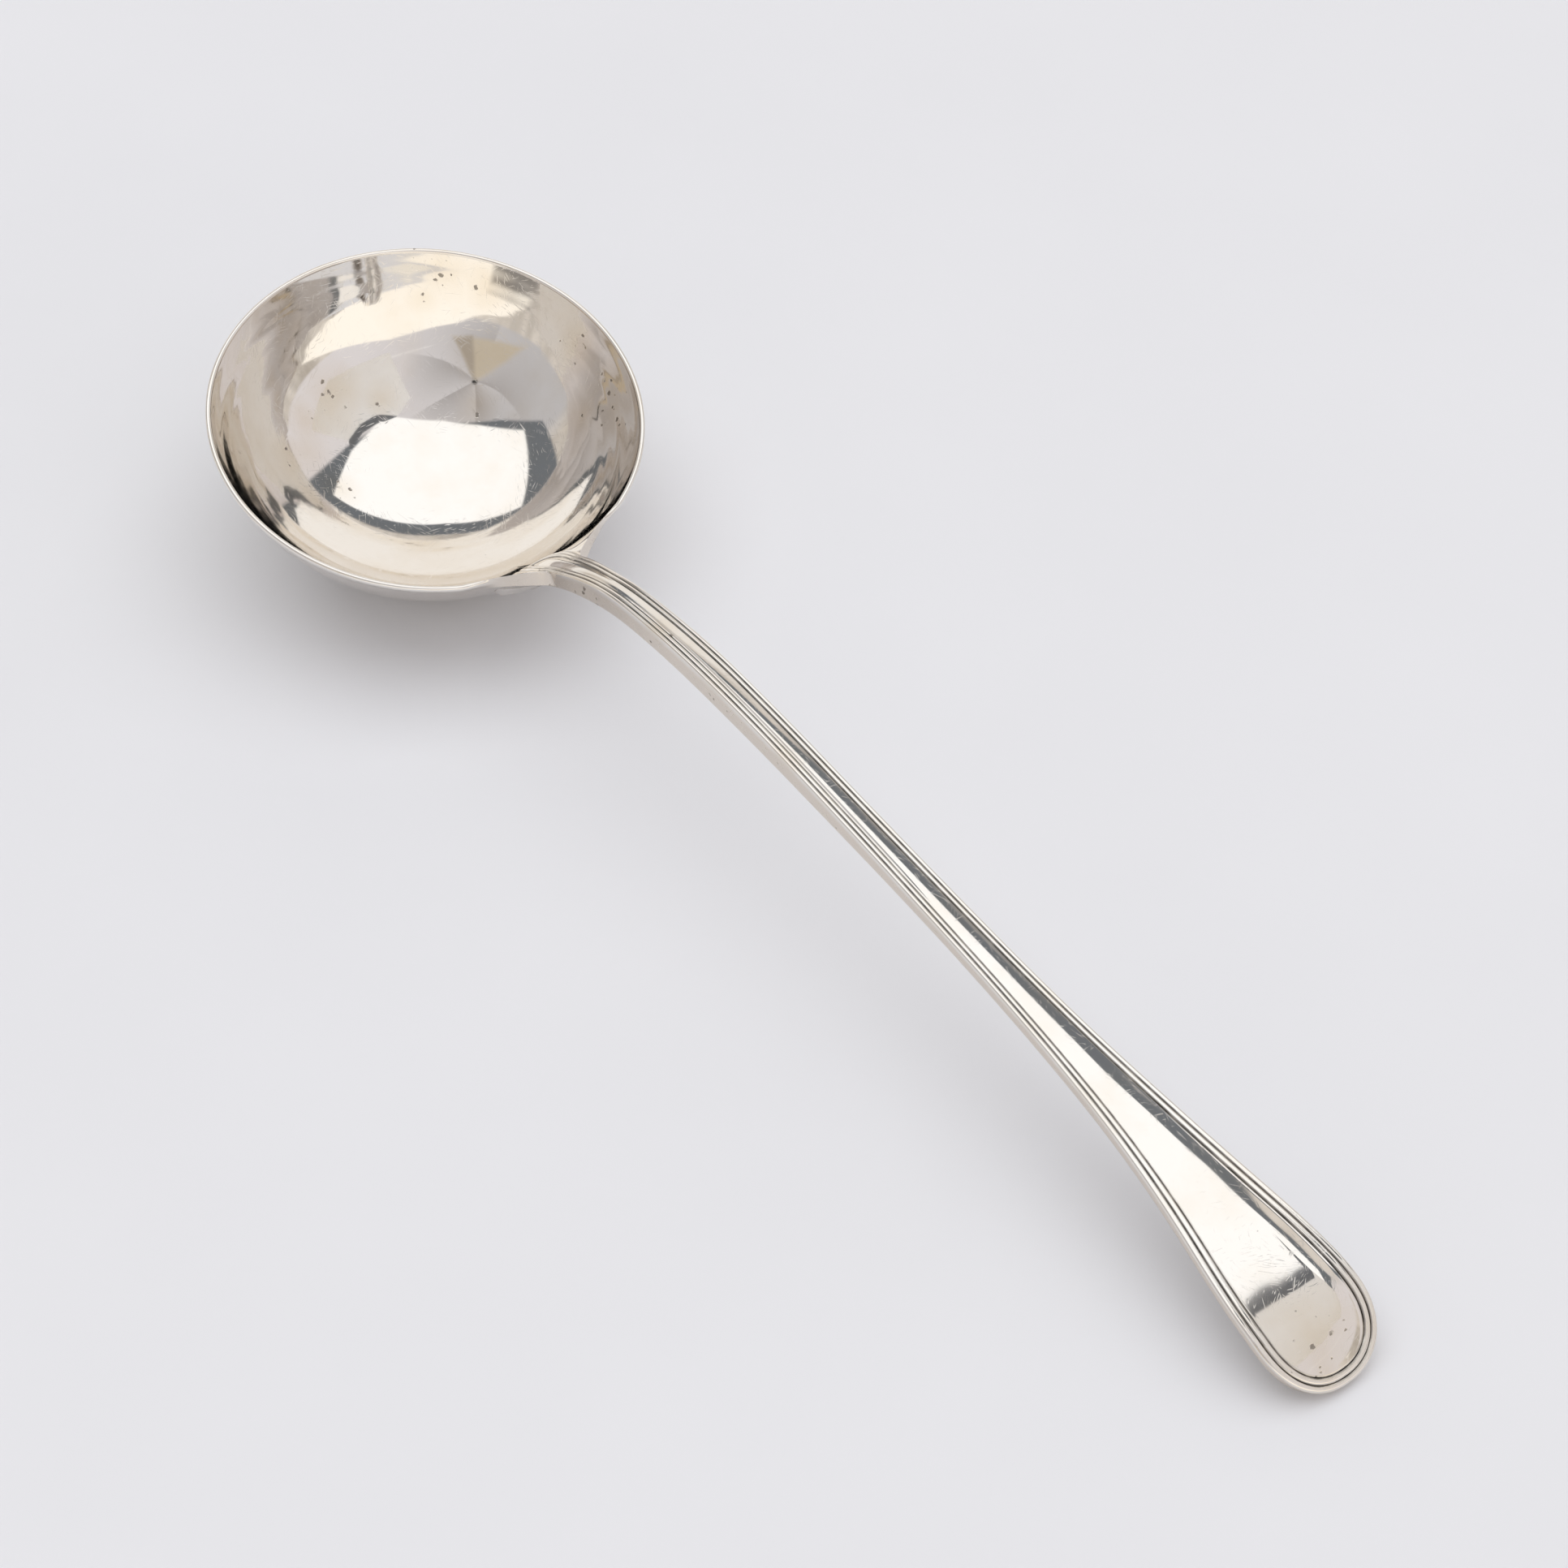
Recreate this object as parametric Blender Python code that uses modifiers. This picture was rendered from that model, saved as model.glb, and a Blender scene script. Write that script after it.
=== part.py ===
"""Silver soup ladle: round bowl with a root, threaded handle, solder seam and heel drop.

Sizes are in metres. The ladle lies on the plane z = 0 with its handle along +X.
The origin is the middle of the small flat that the bowl rests on.
"""
import math

import bmesh
import bpy
import numpy as np

# Bowl: a round cup whose rim leans down toward the handle
RIM_RADIUS = 0.0479
RIM_WIDTH = 0.0012
RIM_TILT = math.radians(10.1)
RIM_BAND_HEIGHT = 0.0022
RIM_ROUND_HEIGHT = 0.0006
RIM_STEP_HEIGHT = 0.0004
BOWL_OUTER_RADIUS = 0.0499
BOWL_CENTRE_RISE = 0.0151
BOWL_WALL = 0.0013
REST_FLAT_DEPTH = 0.0003

# Root: the rim runs out into a short stub that carries the handle
SHOULDER_ANGLE = math.radians(26.0)
SHOULDER_RISE = 0.0026
SHOULDER_REACH = 0.0105
CORNER_REACH = 0.0032
RIM_BLEND_ANGLE = math.radians(14.0)
RAMP_BLEND_ANGLE = math.radians(36.0)
HEEL_BLEND_ANGLE = math.radians(26.0)
RAMP_HOLD = 0.7

# Handle: its line is a chain of arcs, each with a length and the slope it ends at
SEAM_X = 0.0487
SEAM_Z = 0.02855
ROOT_SLOPE = math.radians(30.0)
ARCH_LENGTH = 0.027
ARCH_SLOPE = math.radians(7.0)
CREST_LENGTH = 0.032
CREST_SLOPE = math.radians(-3.6)
EASE_LENGTH = 0.026
STEM_SLOPE = math.radians(-7.1)
STEM_LENGTH = 0.093
DROOP_LENGTH = 0.056
DROOP_SLOPE = math.radians(-15.2)
TURN_LENGTH = 0.0218
TURN_SLOPE = math.radians(-50.0)

# Handle widths, from the middle line to one edge
ROOT_HALF_WIDTH = 0.00405
NECK_HALF_WIDTH = 0.00335
NECK_LENGTH = 0.016
STEM_HALF_WIDTH = 0.00365
WAIST_HALF_WIDTH = 0.00445
FLARE_HALF_WIDTH = 0.0102
BLADE_HALF_WIDTH = 0.01345
FLARE_SPREAD = 0.155
WAIST_SPREAD = 0.022
FLARE_LENGTH = 0.070
BLADE_SHOULDER_LENGTH = 0.028
BLADE_END_LENGTH = 0.0160
BLADE_END_POWER = 2.2

# Handle thicknesses
ROOT_THICKNESS = 0.0041
NECK_THICKNESS = 0.0051
CREST_THICKNESS = 0.0055
WAIST_THICKNESS = 0.0034
BLADE_THICKNESS = 0.0026
TIP_THICKNESS = 0.0029
UNDER_EDGE_ROUND = 0.0005

# Threads: two beads and two grooves struck along the edge
STEM_BORDER = 0.0025
BLADE_BORDER = 0.0036
BEAD_HEIGHT = 0.0002
GROOVE_DEPTH = 0.00025
PANEL_CROWN = 0.0008

# Solder seam between stub and handle
SEAM_THICKNESS = 0.0004
SEAM_CLEARANCE = 0.00002

# Heel drop: a tongue under the root
DROP_THICKNESS = 0.0011
DROP_EDGE_THICKNESS = 0.0005
DROP_GAP = 0.0003
DROP_START = 0.0080
DROP_SIDE_START = 0.0030
DROP_LENGTH = 0.0130
DROP_HALF_WIDTH = 0.0112
DROP_END_HALF_WIDTH = 0.0030

# Mesh fineness
WALL_COLUMNS = 28
STUB_COLUMNS = 4
SHOULDER_COLUMNS = 9
WALL_ROWS = 6
BLEND_ROWS = 6
HANDLE_RIBS = 48
TIP_RIBS = 12
DROP_ROWS = 8
DROP_COLUMNS = 6
PROBE = 0.001
HALVINGS = 30
MERGE = 0.00001

SEAM_SPACE = SEAM_THICKNESS + 2 * SEAM_CLEARANCE
BOWL_INNER_RADIUS = BOWL_OUTER_RADIUS - BOWL_WALL
AXIS = np.array([math.sin(RIM_TILT), 0.0, math.cos(RIM_TILT)])
CENTRE = np.array([0.0, 0.0, BOWL_OUTER_RADIUS - REST_FLAT_DEPTH])
RIM_CENTRE = CENTRE - BOWL_CENTRE_RISE * AXIS
ACROSS = np.array([math.cos(RIM_TILT), 0.0, -math.sin(RIM_TILT)])
SIDE = np.array([0.0, 1.0, 0.0])
UP = np.array([0.0, 0.0, 1.0])


def smooth(t):
    """Ease from 0 to 1 with flat ends."""
    t = min(max(t, 0.0), 1.0)
    return t * t * (3.0 - 2.0 * t)


def hermite(start, end, leave, arrive, t):
    """Point on a cubic with given end points and end tangents."""
    a = (1 + 2 * t) * (1 - t) ** 2
    b = t * (1 - t) ** 2
    c = t * t * (3 - 2 * t)
    d = t * t * (t - 1)
    return a * start + b * leave + c * end + d * arrive


def unit(vector):
    return vector / np.linalg.norm(vector)


# Handle line

BENDS = (
    (ARCH_LENGTH, ARCH_SLOPE),
    (CREST_LENGTH, CREST_SLOPE),
    (EASE_LENGTH, STEM_SLOPE),
    (STEM_LENGTH, STEM_SLOPE),
    (DROOP_LENGTH, DROOP_SLOPE),
    (TURN_LENGTH, TURN_SLOPE),
)
END_STATION = sum(length for length, slope in BENDS)
CREST_STATION = ARCH_LENGTH + CREST_LENGTH
BLADE_STATION = END_STATION - BLADE_END_LENGTH
FLARE_STATION = BLADE_STATION - BLADE_SHOULDER_LENGTH
WAIST_STATION = FLARE_STATION - FLARE_LENGTH


def arc_step(slope, bend, length):
    """Run and rise of an arc that starts at a slope and turns through a bend."""
    if abs(bend) < 1e-9:
        return length * math.cos(slope), length * math.sin(slope)
    radius = length / bend
    run = radius * (math.sin(slope + bend) - math.sin(slope))
    rise = radius * (math.cos(slope) - math.cos(slope + bend))
    return run, rise


def line_at(station):
    """Point on the line along the top of the handle's edges, with its slope there."""
    x, z, slope = SEAM_X, SEAM_Z, ROOT_SLOPE
    left = station
    for length, end_slope in BENDS:
        part = min(left, length)
        bend = (end_slope - slope) * part / length
        run, rise = arc_step(slope, bend, part)
        x, z, slope = x + run, z + rise, slope + bend
        left -= part
        if left <= 0.0:
            break
    return np.array([x, 0.0, z]), slope


def handle_point(station, across, height):
    """World point from distances along, across and above the top of the handle."""
    point, slope = line_at(station)
    up = np.array([-math.sin(slope), 0.0, math.cos(slope)])
    return point + across * SIDE + height * up


def through_knots(knots, station):
    """Value at a station of a smooth curve through (station, value, spread) knots."""
    for (s0, v0, k0), (s1, v1, k1) in zip(knots, knots[1:]):
        if station <= s1:
            span = s1 - s0
            return hermite(v0, v1, k0 * span, k1 * span, (station - s0) / span)
    return knots[-1][1]


def half_width(station):
    return through_knots((
        (0.0, ROOT_HALF_WIDTH, 0.0),
        (NECK_LENGTH, NECK_HALF_WIDTH, 0.0),
        (CREST_STATION, STEM_HALF_WIDTH, 0.0),
        (WAIST_STATION, WAIST_HALF_WIDTH, WAIST_SPREAD),
        (FLARE_STATION, FLARE_HALF_WIDTH, FLARE_SPREAD),
        (BLADE_STATION, BLADE_HALF_WIDTH, 0.0),
    ), station)


def thickness(station):
    return through_knots((
        (0.0, ROOT_THICKNESS, 0.0),
        (NECK_LENGTH, NECK_THICKNESS, 0.0),
        (CREST_STATION, CREST_THICKNESS, 0.0),
        (WAIST_STATION, WAIST_THICKNESS, 0.0),
        (BLADE_STATION, BLADE_THICKNESS, 0.0),
        (END_STATION, TIP_THICKNESS, 0.0),
    ), station)


def crown(station):
    """Swell of the panel, in step with its width."""
    widest = BLADE_HALF_WIDTH - BLADE_BORDER
    return PANEL_CROWN * (half_width(station) - border(station)) / widest


def border(station):
    return through_knots((
        (0.0, STEM_BORDER, 0.0),
        (WAIST_STATION, STEM_BORDER, 0.0),
        (BLADE_STATION, BLADE_BORDER, 0.0),
    ), station)


# Share of the border from its inner side, and height of the struck profile there
THREADS = (
    (1.00, 0.0),
    (0.84, -GROOVE_DEPTH),
    (0.64, BEAD_HEIGHT),
    (0.42, -GROOVE_DEPTH),
    (0.20, BEAD_HEIGHT),
    (0.00, 0.0),
)


def handle_rib(spine, station, across):
    """Points from the panel over the threads and the edge to the underside."""
    reach = math.hypot(station - spine, across)
    along = (station - spine) / reach
    aside = across / reach
    edge = border(station)
    depth = thickness(station)
    section = [(0.5 * (reach - edge), 0.75 * crown(spine))]
    section += [(reach - share * edge, height) for share, height in THREADS]
    section += [(reach, UNDER_EDGE_ROUND - depth), (reach - UNDER_EDGE_ROUND, -depth)]
    return [handle_point(spine + along * d, aside * d, h) for d, h in section]


def handle_mesh():
    """Half of the handle, open along its middle plane."""
    ribs = []
    tops = []
    unders = []
    for i in range(HANDLE_RIBS + 1):
        station = BLADE_STATION * i / HANDLE_RIBS
        ribs.append(handle_rib(station, station, half_width(station)))
        tops.append(handle_point(station, 0.0, crown(station)))
        unders.append(handle_point(station, 0.0, -thickness(station)))
    for i in range(1, TIP_RIBS + 1):
        angle = 0.5 * math.pi * i / TIP_RIBS
        ahead = BLADE_END_LENGTH * math.sin(angle) ** (2 / BLADE_END_POWER)
        aside = BLADE_HALF_WIDTH * max(math.cos(angle), 0.0) ** (2 / BLADE_END_POWER)
        if i == TIP_RIBS:
            aside = 0.0
        ribs.append(handle_rib(BLADE_STATION, BLADE_STATION + ahead, aside))
    mesh = bmesh.new()
    rings = [[mesh.verts.new(p) for p in rib] for rib in ribs]
    tops = [mesh.verts.new(p) for p in tops]
    unders = [mesh.verts.new(p) for p in unders]
    mesh.faces.new([tops[0]] + rings[0] + [unders[0]])
    for i, (ring, after) in enumerate(zip(rings, rings[1:])):
        for k in range(len(ring) - 1):
            mesh.faces.new((ring[k], after[k], after[k + 1], ring[k + 1]))
        if i < HANDLE_RIBS:
            mesh.faces.new((tops[i], tops[i + 1], after[0], ring[0]))
            mesh.faces.new((ring[-1], after[-1], unders[i + 1], unders[i]))
        else:
            mesh.faces.new((tops[-1], after[0], ring[0]))
            mesh.faces.new((ring[-1], after[-1], unders[-1]))
    return mesh


# Bowl

def rim_point(angle, radius, height):
    """World point from an angle round the rim, a radius and a height over the rim."""
    outward = math.cos(angle) * ACROSS + math.sin(angle) * SIDE
    return RIM_CENTRE + radius * outward + height * AXIS


def cup_radius(sphere, below):
    """Radius of a sphere of the bowl at a depth below the rim."""
    return math.sqrt(sphere ** 2 - (BOWL_CENTRE_RISE + below) ** 2)


LIP_RADIUS = RIM_RADIUS - RIM_WIDTH
WALL_START = RIM_BAND_HEIGHT + RIM_STEP_HEIGHT
WALL_RADIUS = cup_radius(BOWL_OUTER_RADIUS, WALL_START)


def rim_section():
    """Outward and upward steps of the rim from its inner edge to the outer wall."""
    half = 0.5 * RIM_WIDTH
    steps = []
    for degrees in (180, 135, 90, 45, 0):
        turn = math.radians(degrees)
        steps.append((half + half * math.cos(turn), RIM_ROUND_HEIGHT * math.sin(turn)))
    steps.append((2 * half, RIM_ROUND_HEIGHT - RIM_BAND_HEIGHT))
    steps.append((WALL_RADIUS - LIP_RADIUS, RIM_ROUND_HEIGHT - WALL_START))
    return steps


RIM_SECTION = rim_section()
STUB_ALONG = np.array([math.cos(ROOT_SLOPE), 0.0, math.sin(ROOT_SLOPE)])
STUB_UP = np.array([-math.sin(ROOT_SLOPE), 0.0, math.cos(ROOT_SLOPE)])
STUB_END = np.array([SEAM_X, 0.0, SEAM_Z]) - SEAM_SPACE * STUB_ALONG


def shoulder(t):
    """Point and direction of the lip from the corner of the stub to the plain rim."""
    corner = STUB_END + ROOT_HALF_WIDTH * SIDE
    rim = rim_point(SHOULDER_ANGLE, LIP_RADIUS, -RIM_ROUND_HEIGHT)
    toward_root = math.sin(SHOULDER_ANGLE) * ACROSS - math.cos(SHOULDER_ANGLE) * SIDE
    a = corner - CORNER_REACH * STUB_ALONG
    b = rim + SHOULDER_REACH * toward_root + SHOULDER_RISE * AXIS
    s = 1.0 - t
    point = s ** 3 * corner + 3 * s * s * t * a + 3 * s * t * t * b + t ** 3 * rim
    along = s * s * (a - corner) + 2 * s * t * (b - a) + t * t * (rim - b)
    return point, unit(along)


def lip(place):
    """Lip points at a place: 0 to 1 over the stub, 1 to 2 shoulder, 2 to 3 plain rim.

    The second value is how far the lip has changed from stub to rim.
    """
    count = len(RIM_SECTION) - 1
    drops = [-ROOT_THICKNESS * i / count for i in range(count + 1)]
    if place <= 1.0:
        top = STUB_END + place * ROOT_HALF_WIDTH * SIDE
        return [top + drop * STUB_UP for drop in drops], 0.0
    if place >= 2.0:
        angle = SHOULDER_ANGLE + (math.pi - SHOULDER_ANGLE) * (place - 2.0)
        return [rim_point(angle, LIP_RADIUS + out, rise - RIM_ROUND_HEIGHT)
                for out, rise in RIM_SECTION], 1.0
    top, along = shoulder(place - 1.0)
    change = smooth(place - 1.0)
    up = unit((1.0 - change) * STUB_UP + change * AXIS)
    outward = unit(np.cross(along, up))
    return [top + change * out * outward + (change * rise + (1.0 - change) * drop) * up
            for (out, rise), drop in zip(RIM_SECTION, drops)], change


def wall_path(edge, sphere, blend_angle, change, hold, share):
    """Point on the wall between its blend and the edge, with the way the wall runs.

    Hold makes the wall keep to the stub's slope for longer below the edge.
    """
    arm = edge - CENTRE
    flat = unit(np.array([arm[0], arm[1], 0.0]))
    edge_angle = math.atan2(math.hypot(arm[0], arm[1]), -arm[2])
    angle = edge_angle - blend_angle
    start = CENTRE + sphere * (math.sin(angle) * flat - math.cos(angle) * UP)
    leave = math.cos(angle) * flat + math.sin(angle) * UP
    climb = math.cos(edge_angle) * flat + math.sin(edge_angle) * UP
    arrive = unit(change * climb + (1.0 - change) * STUB_ALONG)
    chord = np.linalg.norm(edge - start)
    reach = chord * (1.0 + hold * (1.0 - change))
    return hermite(start, edge, chord * leave, reach * arrive, share), angle, flat


def outer_point(place, share):
    """Point of the outer wall at a share of the way from the blend to the edge."""
    edges, change = lip(place)
    blend = HEEL_BLEND_ANGLE + change * (RIM_BLEND_ANGLE - HEEL_BLEND_ANGLE)
    return wall_path(edges[-1], BOWL_OUTER_RADIUS, blend, change, 0.0, share)


def bowl_column(place):
    """Points from the middle of the inside up to the lip and down the outside."""
    edges, change = lip(place)
    blend = RAMP_BLEND_ANGLE + change * (RIM_BLEND_ANGLE - RAMP_BLEND_ANGLE)
    column = []
    inner = edges[0], BOWL_INNER_RADIUS, blend, change, RAMP_HOLD
    _, angle, flat = wall_path(*inner, 0.0)
    for i in range(1, WALL_ROWS):
        turn = angle * i / WALL_ROWS
        column.append(CENTRE + BOWL_INNER_RADIUS * (math.sin(turn) * flat - math.cos(turn) * UP))
    for i in range(BLEND_ROWS):
        share = i / BLEND_ROWS
        column.append(wall_path(*inner, share)[0])
    column += edges
    for i in range(BLEND_ROWS - 1, -1, -1):
        column.append(outer_point(place, i / BLEND_ROWS)[0])
    _, angle, flat = outer_point(place, 0.0)
    rest = math.acos(CENTRE[2] / BOWL_OUTER_RADIUS)
    for i in range(WALL_ROWS - 1, -1, -1):
        turn = rest + (angle - rest) * i / WALL_ROWS
        column.append(CENTRE + BOWL_OUTER_RADIUS * (math.sin(turn) * flat - math.cos(turn) * UP))
    return column


def bowl_mesh():
    """Half of the bowl with its root, open along its middle plane."""
    places = [i / STUB_COLUMNS for i in range(STUB_COLUMNS)]
    places += [1.0 + i / SHOULDER_COLUMNS for i in range(SHOULDER_COLUMNS)]
    places += [2.0 + i / WALL_COLUMNS for i in range(WALL_COLUMNS + 1)]
    columns = [bowl_column(place) for place in places]
    for point in columns[-1]:
        point[1] = 0.0
    mesh = bmesh.new()
    middle = mesh.verts.new(CENTRE - BOWL_INNER_RADIUS * UP)
    columns = [[mesh.verts.new(p) for p in column] for column in columns]
    for column, after in zip(columns, columns[1:]):
        mesh.faces.new((middle, column[0], after[0]))
        for k in range(len(column) - 1):
            mesh.faces.new((column[k], column[k + 1], after[k + 1], after[k]))
    mesh.faces.new([column[-1] for column in reversed(columns)])
    return mesh


# Heel drop

def place_across(distance, share):
    """Place on the outer wall at a distance from the middle plane."""
    near, far = 0.0, 3.0
    for _ in range(HALVINGS):
        place = 0.5 * (near + far)
        if outer_point(place, share)[0][1] < distance and place < 2.0:
            near = place
        else:
            far = place
    return near


def drop_point(distance, share, height):
    """Point at a height over the outer wall."""
    place = place_across(distance, share)
    point = outer_point(place, share)[0]
    sideways = outer_point(place + PROBE, share)[0] - point
    upward = outer_point(place, share + PROBE)[0] - point
    return point + height * unit(np.cross(sideways, upward))


def drop_mesh():
    """Half of the tongue under the root, open along its middle plane."""
    mesh = bmesh.new()
    inner = []
    outer = []
    heel = np.linalg.norm(outer_point(0.0, 1.0)[0] - outer_point(0.0, 0.0)[0])
    for i in range(DROP_ROWS + 1):
        down = i / DROP_ROWS
        narrowing = DROP_HALF_WIDTH - DROP_END_HALF_WIDTH
        width = DROP_END_HALF_WIDTH + narrowing * math.sqrt(1.0 - down ** 4)
        low = []
        high = []
        for k in range(DROP_COLUMNS + 1):
            distance = width * k / DROP_COLUMNS
            start = DROP_START + (DROP_SIDE_START - DROP_START) * (k / DROP_COLUMNS) ** 2
            share = 1.0 - (start + DROP_LENGTH * down) / heel
            swell = (1.0 - (k / DROP_COLUMNS) ** 4) * (1.0 - down ** 4) * smooth(4 * down)
            rise = DROP_EDGE_THICKNESS + (DROP_THICKNESS - DROP_EDGE_THICKNESS) * swell
            low.append(mesh.verts.new(drop_point(distance, share, DROP_GAP)))
            high.append(mesh.verts.new(drop_point(distance, share, DROP_GAP + rise)))
        inner.append(low)
        outer.append(high)
    for i in range(DROP_ROWS):
        for k in range(DROP_COLUMNS):
            corners = (i, k), (i + 1, k), (i + 1, k + 1), (i, k + 1)
            mesh.faces.new([outer[a][b] for a, b in corners])
            mesh.faces.new([inner[a][b] for a, b in reversed(corners)])
        mesh.faces.new((outer[i][-1], outer[i + 1][-1], inner[i + 1][-1], inner[i][-1]))
    for k in range(DROP_COLUMNS):
        mesh.faces.new((outer[0][k], outer[0][k + 1], inner[0][k + 1], inner[0][k]))
        mesh.faces.new((outer[-1][k + 1], outer[-1][k], inner[-1][k], inner[-1][k + 1]))
    return mesh


# Objects

def silver(name, colour, roughness):
    """Principled metal material."""
    material = bpy.data.materials.new(name)
    material.use_nodes = True
    shader = material.node_tree.nodes["Principled BSDF"]
    shader.inputs["Base Color"].default_value = (*colour, 1.0)
    shader.inputs["Roughness"].default_value = roughness
    shader.inputs["Metallic"].default_value = 1.0
    return material


def add_piece(name, collection, parent, material):
    """Named empty mesh object under the ladle's frame."""
    piece = bpy.data.objects.new(name, bpy.data.meshes.new(name))
    collection.objects.link(piece)
    piece.parent = parent
    piece.data.materials.append(material)
    return piece


def add_mirrored(name, half, collection, parent, material):
    """Piece made of a half and its mirror image across the middle plane."""
    piece = add_piece(name, collection, parent, material)
    half.to_mesh(piece.data)
    half.free()
    piece.data.shade_smooth()
    mirror = piece.modifiers.new("Both sides", "MIRROR")
    mirror.use_axis = (False, True, False)
    mirror.merge_threshold = MERGE
    return piece


def add_seam(collection, parent, material):
    """Thin wafer of solder across the stem."""
    piece = add_piece("solder_seam", collection, parent, material)
    mesh = bmesh.new()
    bmesh.ops.create_cube(mesh, size=1.0)
    size = (SEAM_THICKNESS, 2 * ROOT_HALF_WIDTH, ROOT_THICKNESS)
    bmesh.ops.scale(mesh, vec=size, verts=mesh.verts)
    mesh.to_mesh(piece.data)
    mesh.free()
    piece.location = STUB_END + 0.5 * SEAM_SPACE * STUB_ALONG - 0.5 * ROOT_THICKNESS * STUB_UP
    piece.rotation_euler = (0.0, -ROOT_SLOPE, 0.0)
    return piece


def main():
    for item in list(bpy.data.objects):
        bpy.data.objects.remove(item)
    collection = bpy.data.collections.new("Soup ladle")
    bpy.context.scene.collection.children.link(collection)
    frame = bpy.data.objects.new("ladle_frame", None)
    collection.objects.link(frame)
    bright = silver("Polished silver", (0.86, 0.84, 0.79), 0.10)
    worn = silver("Worn silver", (0.83, 0.81, 0.76), 0.14)
    under = silver("Dulled silver", (0.78, 0.76, 0.71), 0.22)
    solder = silver("Hard silver solder", (0.66, 0.63, 0.57), 0.30)
    add_mirrored("bowl", bowl_mesh(), collection, frame, bright)
    add_mirrored("handle", handle_mesh(), collection, frame, worn)
    add_mirrored("heel_drop", drop_mesh(), collection, frame, under)
    add_seam(collection, frame, solder)


main()
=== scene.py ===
"""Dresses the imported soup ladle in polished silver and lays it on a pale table.

Sizes are in metres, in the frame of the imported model: the table is z = 0, the handle
runs along +X, and the origin is the middle of the flat that the bowl rests on.
"""
import math
from functools import partial

import bmesh
import bpy
import numpy as np
from bpy.props import FloatProperty, FloatVectorProperty, PointerProperty
from bpy.types import NodeSocket, Operator, Panel, PropertyGroup
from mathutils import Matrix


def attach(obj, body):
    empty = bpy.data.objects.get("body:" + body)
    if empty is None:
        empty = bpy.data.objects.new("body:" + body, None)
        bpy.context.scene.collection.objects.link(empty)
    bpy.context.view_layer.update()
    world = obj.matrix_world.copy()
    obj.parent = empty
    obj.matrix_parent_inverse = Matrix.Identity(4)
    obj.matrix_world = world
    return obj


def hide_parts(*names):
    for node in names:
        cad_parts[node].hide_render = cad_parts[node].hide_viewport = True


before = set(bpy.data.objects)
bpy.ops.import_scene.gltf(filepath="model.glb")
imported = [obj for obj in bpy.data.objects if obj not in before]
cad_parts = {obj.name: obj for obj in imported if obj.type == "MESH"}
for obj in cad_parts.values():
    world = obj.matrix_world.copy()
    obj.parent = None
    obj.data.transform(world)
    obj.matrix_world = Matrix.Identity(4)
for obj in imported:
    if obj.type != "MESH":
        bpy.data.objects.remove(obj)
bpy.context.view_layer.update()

bl_info = {
    "name": "Soup ladle",
    "version": (1, 0, 0),
    "blender": (4, 5, 0),
    "location": "View3D > Sidebar > Ladle",
    "description": "Builds a silver soup ladle with a threaded handle, and its table and light",
    "category": "Add Mesh",
}

MM = 0.001
SIDE = np.array([0.0, 1.0, 0.0])
UP = np.array([0.0, 0.0, 1.0])
MIRROR = np.array([1.0, -1.0, 1.0])
# Lens for a sensor 36 mm wide: focal length of 6100 pixels in a picture of 1932
SENSOR = 36.0
LENS = SENSOR * 6100 / 1932


def linear(code):
    """Linear colour of an sRGB hex value."""
    parts = [int(code[i:i + 2], 16) / 255 for i in (1, 3, 5)]
    return tuple(c / 12.92 if c <= 0.04045 else ((c + 0.055) / 1.055) ** 2.4 for c in parts)


def length(label, words, value):
    """Length property in metres."""
    return FloatProperty(name=label, description=words, default=value, min=0.0,
                         precision=5, unit="LENGTH")


def slope(label, words, degrees):
    """Angle property."""
    return FloatProperty(name=label, description=words, default=math.radians(degrees),
                         subtype="ANGLE")


def tint(label, words, code):
    """Colour property from an sRGB hex value."""
    return FloatVectorProperty(name=label, description=words, default=linear(code), size=3,
                               min=0.0, max=1.0, subtype="COLOR")


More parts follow.
